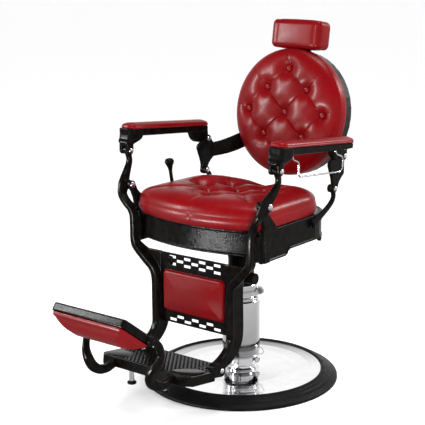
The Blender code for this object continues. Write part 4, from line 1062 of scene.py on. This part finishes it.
@on_both_sides
def build_arm_castings(chair, name, side):
    """A beam with a swelling head at its front and a knee at its rear."""
    front_pivot, rear_pivot = pivot_of(f"{name}_arm_pin"), pivot_of(f"{name}_arm_bolt")
    beam = []
    for i in range(13):
        y = -0.2 + 0.376 * i / 12
        depth = 0.0255 - 0.01 * (y + 0.195)
        rise = 0.004 * max(0.0, (i - 10) / 2) ** 2
        beam.append((side * ARM_X, y, arm_top(y) - depth / 2 + rise / 2, 0.0225, depth / 2 - rise / 2))
    levels = (
        (0.7985, 0.0165, -0.243, -0.207), (0.8035, 0.019, -0.246, -0.202),
        (0.809, 0.0235, -0.247, -0.192),
        (0.814, 0.0268, -0.246, -0.181), (0.819, 0.028, -0.242, -0.173), (0.824, 0.0284, -0.239, -0.169),
        (0.836, 0.0282, -0.237, -0.168), (0.846, 0.0286, -0.237, -0.167),
    )
    rings = []
    for height, half, front, rear in levels:
        plan = rounded_plan(half, front, rear, 0.0135, 0.0, 8, 6)
        rings.append([(side * ARM_X + x, y, height) for x, y in plan])
    plan = rounded_plan(0.0284, -0.237, -0.167, 0.0135, 0.0, 8, 6)
    rings.append([(side * ARM_X + x, y, arm_top(y)) for x, y in plan])
    y, z = front_pivot
    cheek = softened([(y - 0.0135, 0.806), (y - 0.0135, z - 0.004), (y - 0.007, z - 0.0133),
                      (y + 0.007, z - 0.0133), (y + 0.0135, z - 0.004), (y + 0.0135, 0.806)], 0.006, 4)
    y, z = rear_pivot
    knee = softened([(0.07, 0.82), (0.08, 0.81), (0.087, 0.796), (0.096, 0.779), (0.112, 0.767),
                     (0.138, 0.761), (0.156, z - 0.0125), (0.17, z - 0.0135), (0.179, z - 0.002),
                     (0.1795, 0.786), (0.176, 0.808), (0.174, 0.82)], 0.006, 4)
    skins = [cast_bar(beam, power=0.3), ring_skin(rings),
             plate(cheek, side * 0.2815, side * 0.2922), plate(cheek, side * 0.3118, side * 0.3225),
             plate(knee, side * 0.2805, side * 0.3)]
    node = f"{name}_arm_casting"
    cast(chair, f"{name}_armrest_casting", skins, f"{name}_arm", node, voxel=0.0016, rounds=4)


def build_flip_tray(chair):
    """A shallow tray behind the flip pad, with a boss at each end of its pivot."""
    frame = flip_frame()
    rows = ((0.005, -0.0155), (0.0012, -0.0142), (0.0, -0.0115), (0.0, 0.0085), (0.0016, 0.0112),
            (0.0042, 0.0114))
    rings = []
    for shrink, height in rows:
        plan = rounded_plan(0.143, -0.0145, 0.1305, 0.009, shrink, 6, 20)
        rings.append([frame @ Vector((x, y, height)) for x, y in plan])
    skins = [ring_skin(rings), lathe([(0.006, -0.16), (0.006, 0.16)], across(*FLIP_PIVOT), 32)]
    for side in (-1, 1):
        skins.append(drum(FLIP_PIVOT, 0.012, side * 0.13, side * 0.1436))
    cast(chair, "flip_tray_casting", skins, "flip_pad", "flip_tray", voxel=0.0019, rounds=3)


def grille_rows():
    """Heights of the chequered openings, and whether each row is shifted by half a pitch."""
    upper = [(0.458 - 0.0118 * i, i % 2) for i in range(3)]
    return upper + [(0.258, 1), (0.258 - 0.0118, 0)]


def build_apron(chair):
    """A thin plate between the levers, with chequered openings above and below its pad."""
    low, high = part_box("apron_frame")
    holes = []
    for z, shifted in grille_rows():
        count = 3 if shifted else 4
        for i in range(count):
            x = (i - (count - 1) / 2) * 0.061
            holes.append((x - 0.0143, x + 0.0143, z - 0.0049, z + 0.0049))
    xs = sorted({round(v, 5) for hole in holes for v in hole[:2]} | {round(low.x, 5), round(high.x, 5)})
    zs = sorted({round(v, 5) for hole in holes for v in hole[2:]} | {round(low.z, 5), round(high.z, 5)})
    points = [(x, low.y, z) for z in zs for x in xs]
    faces = []
    for row in range(len(zs) - 1):
        for column in range(len(xs) - 1):
            x, z = (xs[column] + xs[column + 1]) / 2, (zs[row] + zs[row + 1]) / 2
            if not any(a < x < b and c < z < d for a, b, c, d in holes):
                corner = row * len(xs) + column
                faces.append((corner, corner + 1, corner + len(xs) + 1, corner + len(xs)))
    apron = chair.piece("pierced_apron", (points, faces), "iron", "leg_frame", ["apron_frame"], sharp=30)
    solidify = apron.modifiers.new("thickness", "SOLIDIFY")
    solidify.thickness = 0.0048
    solidify.offset = -1.0
    bevel = apron.modifiers.new("edges", "BEVEL")
    bevel.width = 0.0007
    bevel.segments = 2
    bevel.limit_method = "ANGLE"


# Small details

def build_towel_rail(chair):
    low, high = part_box("towel_rail")
    x = (low.x + high.x) / 2
    radius = (high.x - low.x) / 2
    corners = [
        (-0.147, 0.8225), (-0.147, 0.812), (-0.142, 0.805), (-0.118, 0.796), (-0.112, 0.789),
        (-0.112, 0.753), (-0.106, 0.747), (0.092, 0.73), (0.125, 0.728), (0.14, 0.738),
        (0.142, 0.765), (0.132, 0.778), (0.106, 0.786), (0.098, 0.795), (0.098, 0.8015),
    ]
    path = [Vector((x, y, z)) for y, z in softened(corners, 0.006, 5, closed=False)]
    chair.solid("towel_wire", tube(path, radius, 18), "chrome", "left_arm", ["towel_rail"], sharp=80)


# Footplate

def foot_frame():
    """On the footplate: across, forwards along the deck, up out of it."""
    return frame_at((0.0, -0.3, 0.155), (-1.0, 0.0, 0.0), (0.0, -math.cos(FOOT_TILT), math.sin(FOOT_TILT)))


def block_skin(outline, low, high, inset, frame):
    """A low block whose top is smaller than its foot."""
    middle = Vector((sum(x for x, _ in outline) / len(outline), sum(y for _, y in outline) / len(outline)))
    rings = []
    for height, shrink in ((low, 0.0), (high - inset * 0.4, 0.0), (high, inset)):
        ring = []
        for x, y in outline:
            point = Vector((x, y))
            pulled = point + (middle - point).normalized() * shrink
            ring.append(frame @ Vector((pulled.x, pulled.y, height)))
        rings.append(ring)
    return ring_skin(rings)


def leaf(side):
    """Plan of a raised smooth panel at a front corner of the deck."""
    lobe = [(0.09, 0.19), (0.1, 0.15), (0.118, 0.12), (0.142, 0.106), (0.166, 0.108), (0.176, 0.12),
            (0.176, 0.16), (0.166, 0.182), (0.14, 0.196)]
    return [(side * x, y) for x, y in softened(lobe, 0.016, 4)]


def inside(outline, x, y):
    hit = False
    for (x1, y1), (x2, y2) in zip(outline, outline[1:] + outline[:1]):
        if (y1 > y) != (y2 > y) and x < (x2 - x1) * (y - y1) / (y2 - y1) + x1:
            hit = not hit
    return hit


def build_tread(chair):
    """Rows of small raised blocks over the deck, between two smooth panels."""
    frame = foot_frame()
    leaves = [leaf(1), leaf(-1)]
    pitch_x, pitch_y, half_x, half_y = 0.015, 0.0098, 0.0058, 0.0034
    skins = []
    rows = int(0.198 / pitch_y)
    for row in range(rows):
        y = 0.008 + pitch_y * row
        shift = pitch_x / 2 if row % 2 else 0.0
        limit = 0.128 if y < 0.08 else 0.178
        for column in range(-13, 14):
            x = column * pitch_x + shift
            if abs(x) > limit - half_x or any(inside(outline, x, y) for outline in leaves):
                continue
            if abs(x) > 0.16 and y > 0.188:
                continue
            outline = [(x - half_x, y - half_y), (x + half_x, y - half_y),
                       (x + half_x, y + half_y), (x - half_x, y + half_y)]
            skins.append(block_skin(outline, -0.0004, 0.0016, 0.0007, frame))
    chair.solid("footplate_tread", merged(skins), "iron", "leg_frame", sharp=30)
    for name, side in SIDES:
        panel = block_skin(leaf(-side), -0.0004, 0.0028, 0.003, frame)
        chair.solid(f"{name}_foot_panel", panel, "iron", "leg_frame")


def build_foot_legs(chair):
    for name, _ in SIDES:
        low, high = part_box(f"{name}_foot_rod")
        x, y = (low.x + high.x) / 2, (low.y + high.y) / 2
        place = Matrix.Translation((x, y, 0))
        rod = [(0.0082, low.z), (0.0082, high.z)]
        chair.piece(f"{name}_foot_stem", lathe(rod, place, 48), "chrome", "leg_frame", [f"{name}_foot_rod"])
        foot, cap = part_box(f"{name}_foot_tip")
        tip = softened([(0.011, foot.z), (0.0145, foot.z + 0.0012), (0.0148, foot.z + 0.0062),
                        (0.012, foot.z + 0.0085), (0.008, cap.z)], 0.0015, 4, closed=False)
        cup = lathe(tip, place, 56)
        chair.piece(f"{name}_foot_cup", cup, "rubber", "leg_frame", [f"{name}_foot_tip"], sharp=50)


# Room, light and camera

def floor_finish():
    finish = new_finish("pale_floor")
    finish.node_tree.nodes["Principled BSDF"].inputs["Base Color"].default_value = (0.93, 0.93, 0.93, 1.0)
    vary_roughness(finish, add_noise(finish, 3.0, 2.0), 0.55, 0.65)
    return finish


def build_floor():
    reach = 60.0
    mesh = bpy.data.meshes.new("studio_floor")
    corners = [(-reach, -reach, 0), (reach, -reach, 0), (reach, reach, 0), (-reach, reach, 0)]
    mesh.from_pydata(corners, [], [(0, 1, 2, 3)])
    mesh.materials.append(floor_finish())
    floor = add_object("studio_floor", mesh)
    floor.visible_glossy = False


def add_light(name, place, aim, size, power, soft=True, shine=True):
    """An area lamp; soft is whether it lights surfaces evenly, shine whether they mirror it."""
    data = bpy.data.lights.new(name, "AREA")
    data.shape = "RECTANGLE"
    data.size, data.size_y = size
    data.energy = power
    light = add_object(name, data)
    light.location = place
    light.rotation_euler = (Vector(aim) - Vector(place)).to_track_quat("-Z", "Y").to_euler()
    light.visible_camera = False
    light.visible_diffuse = soft
    light.visible_glossy = shine


def build_world():
    """A studio seen in reflections: bright round the horizon, darker overhead and below."""
    world = bpy.data.worlds.new("studio")
    world.use_nodes = True
    tree = world.node_tree
    background = tree.nodes["Background"]
    direction = tree.nodes.new("ShaderNodeTexCoord").outputs["Generated"]
    split = tree.nodes.new("ShaderNodeSeparateXYZ")
    tree.links.new(direction, split.inputs["Vector"])
    ramp = tree.nodes.new("ShaderNodeValToRGB")
    for _ in WORLD_STOPS[2:]:
        ramp.color_ramp.elements.new(0.5)
    for element, (height, level) in zip(ramp.color_ramp.elements, WORLD_STOPS):
        element.position = (height + 1.0) / 2
        element.color = (level, level, level, 1.0)
    tree.links.new(map_range(tree, split.outputs["Z"], (-1.0, 1.0), (0.0, 1.0)), ramp.inputs["Fac"])
    tree.links.new(ramp.outputs["Color"], background.inputs["Color"])
    facing = tree.nodes.new("ShaderNodeVectorMath")
    facing.operation = "DOT_PRODUCT"
    facing.inputs[1].default_value = BRIGHT_SIDE
    tree.links.new(direction, facing.inputs[0])
    strength = map_range(tree, facing.outputs["Value"], BRIGHT_SHARE, BRIGHT_STRENGTH)
    tree.links.new(strength, background.inputs["Strength"])
    bpy.context.scene.world = world


def build_light():
    data = bpy.data.lights.new("top_light", "SUN")
    data.energy = 2.7
    data.angle = math.radians(30)
    sun = add_object("top_light", data)
    sun.rotation_euler = Vector((-0.05, -0.1, -1.0)).to_track_quat("-Z", "Y").to_euler()
    add_light("front_softbox", (-0.3, -1.55, 0.29), (0.05, -0.25, 0.54), (0.55, 0.2), 38, soft=False)
    add_light("key_softbox", (2.3, -1.9, 1.7), (0.0, 0.0, 0.7), (0.6, 1.0), 95, shine=False)
    add_light("side_softbox", (-2.2, -2.2, 1.7), (0.0, 0.0, 0.7), (0.45, 1.3), 90)
    add_light("rear_softbox", (1.6, 2.4, 2.2), (0.0, 0.1, 0.7), (0.8, 0.8), 55)
    bpy.context.scene.view_settings.view_transform = "Standard"


def build_camera():
    azimuth, elevation, distance = math.radians(36.9), math.radians(12.77), 3.843
    target = Vector((0.0, 0.0, 0.6))
    away = Vector((math.sin(azimuth) * math.cos(elevation), -math.cos(azimuth) * math.cos(elevation),
                   math.sin(elevation)))
    data = bpy.data.cameras.new("camera")
    data.lens = 97.56
    data.sensor_width = 36.0
    data.shift_x = -0.0674
    data.shift_y = -0.0195
    camera = add_object("camera", data)
    camera.location = target + away * distance
    camera.rotation_euler = (-away).to_track_quat("-Z", "Y").to_euler()
    bpy.context.scene.camera = camera


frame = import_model()
finishes = make_finishes()
chair = Chair(finishes)
finish_nodes(frame, finishes)
for build in (
    build_back, build_seat, build_headrest, build_arm_pads, build_apron_pad, build_flip_pad,
    build_base, build_column, build_socket, build_bolts, build_front_band, build_levers,
    build_goosenecks, build_ears, build_posts, build_brackets, build_arm_castings, build_flip_tray,
    build_apron, build_towel_rail, build_tread, build_foot_legs,
):
    build(chair)
build_floor()
build_world()
build_light()
build_camera()
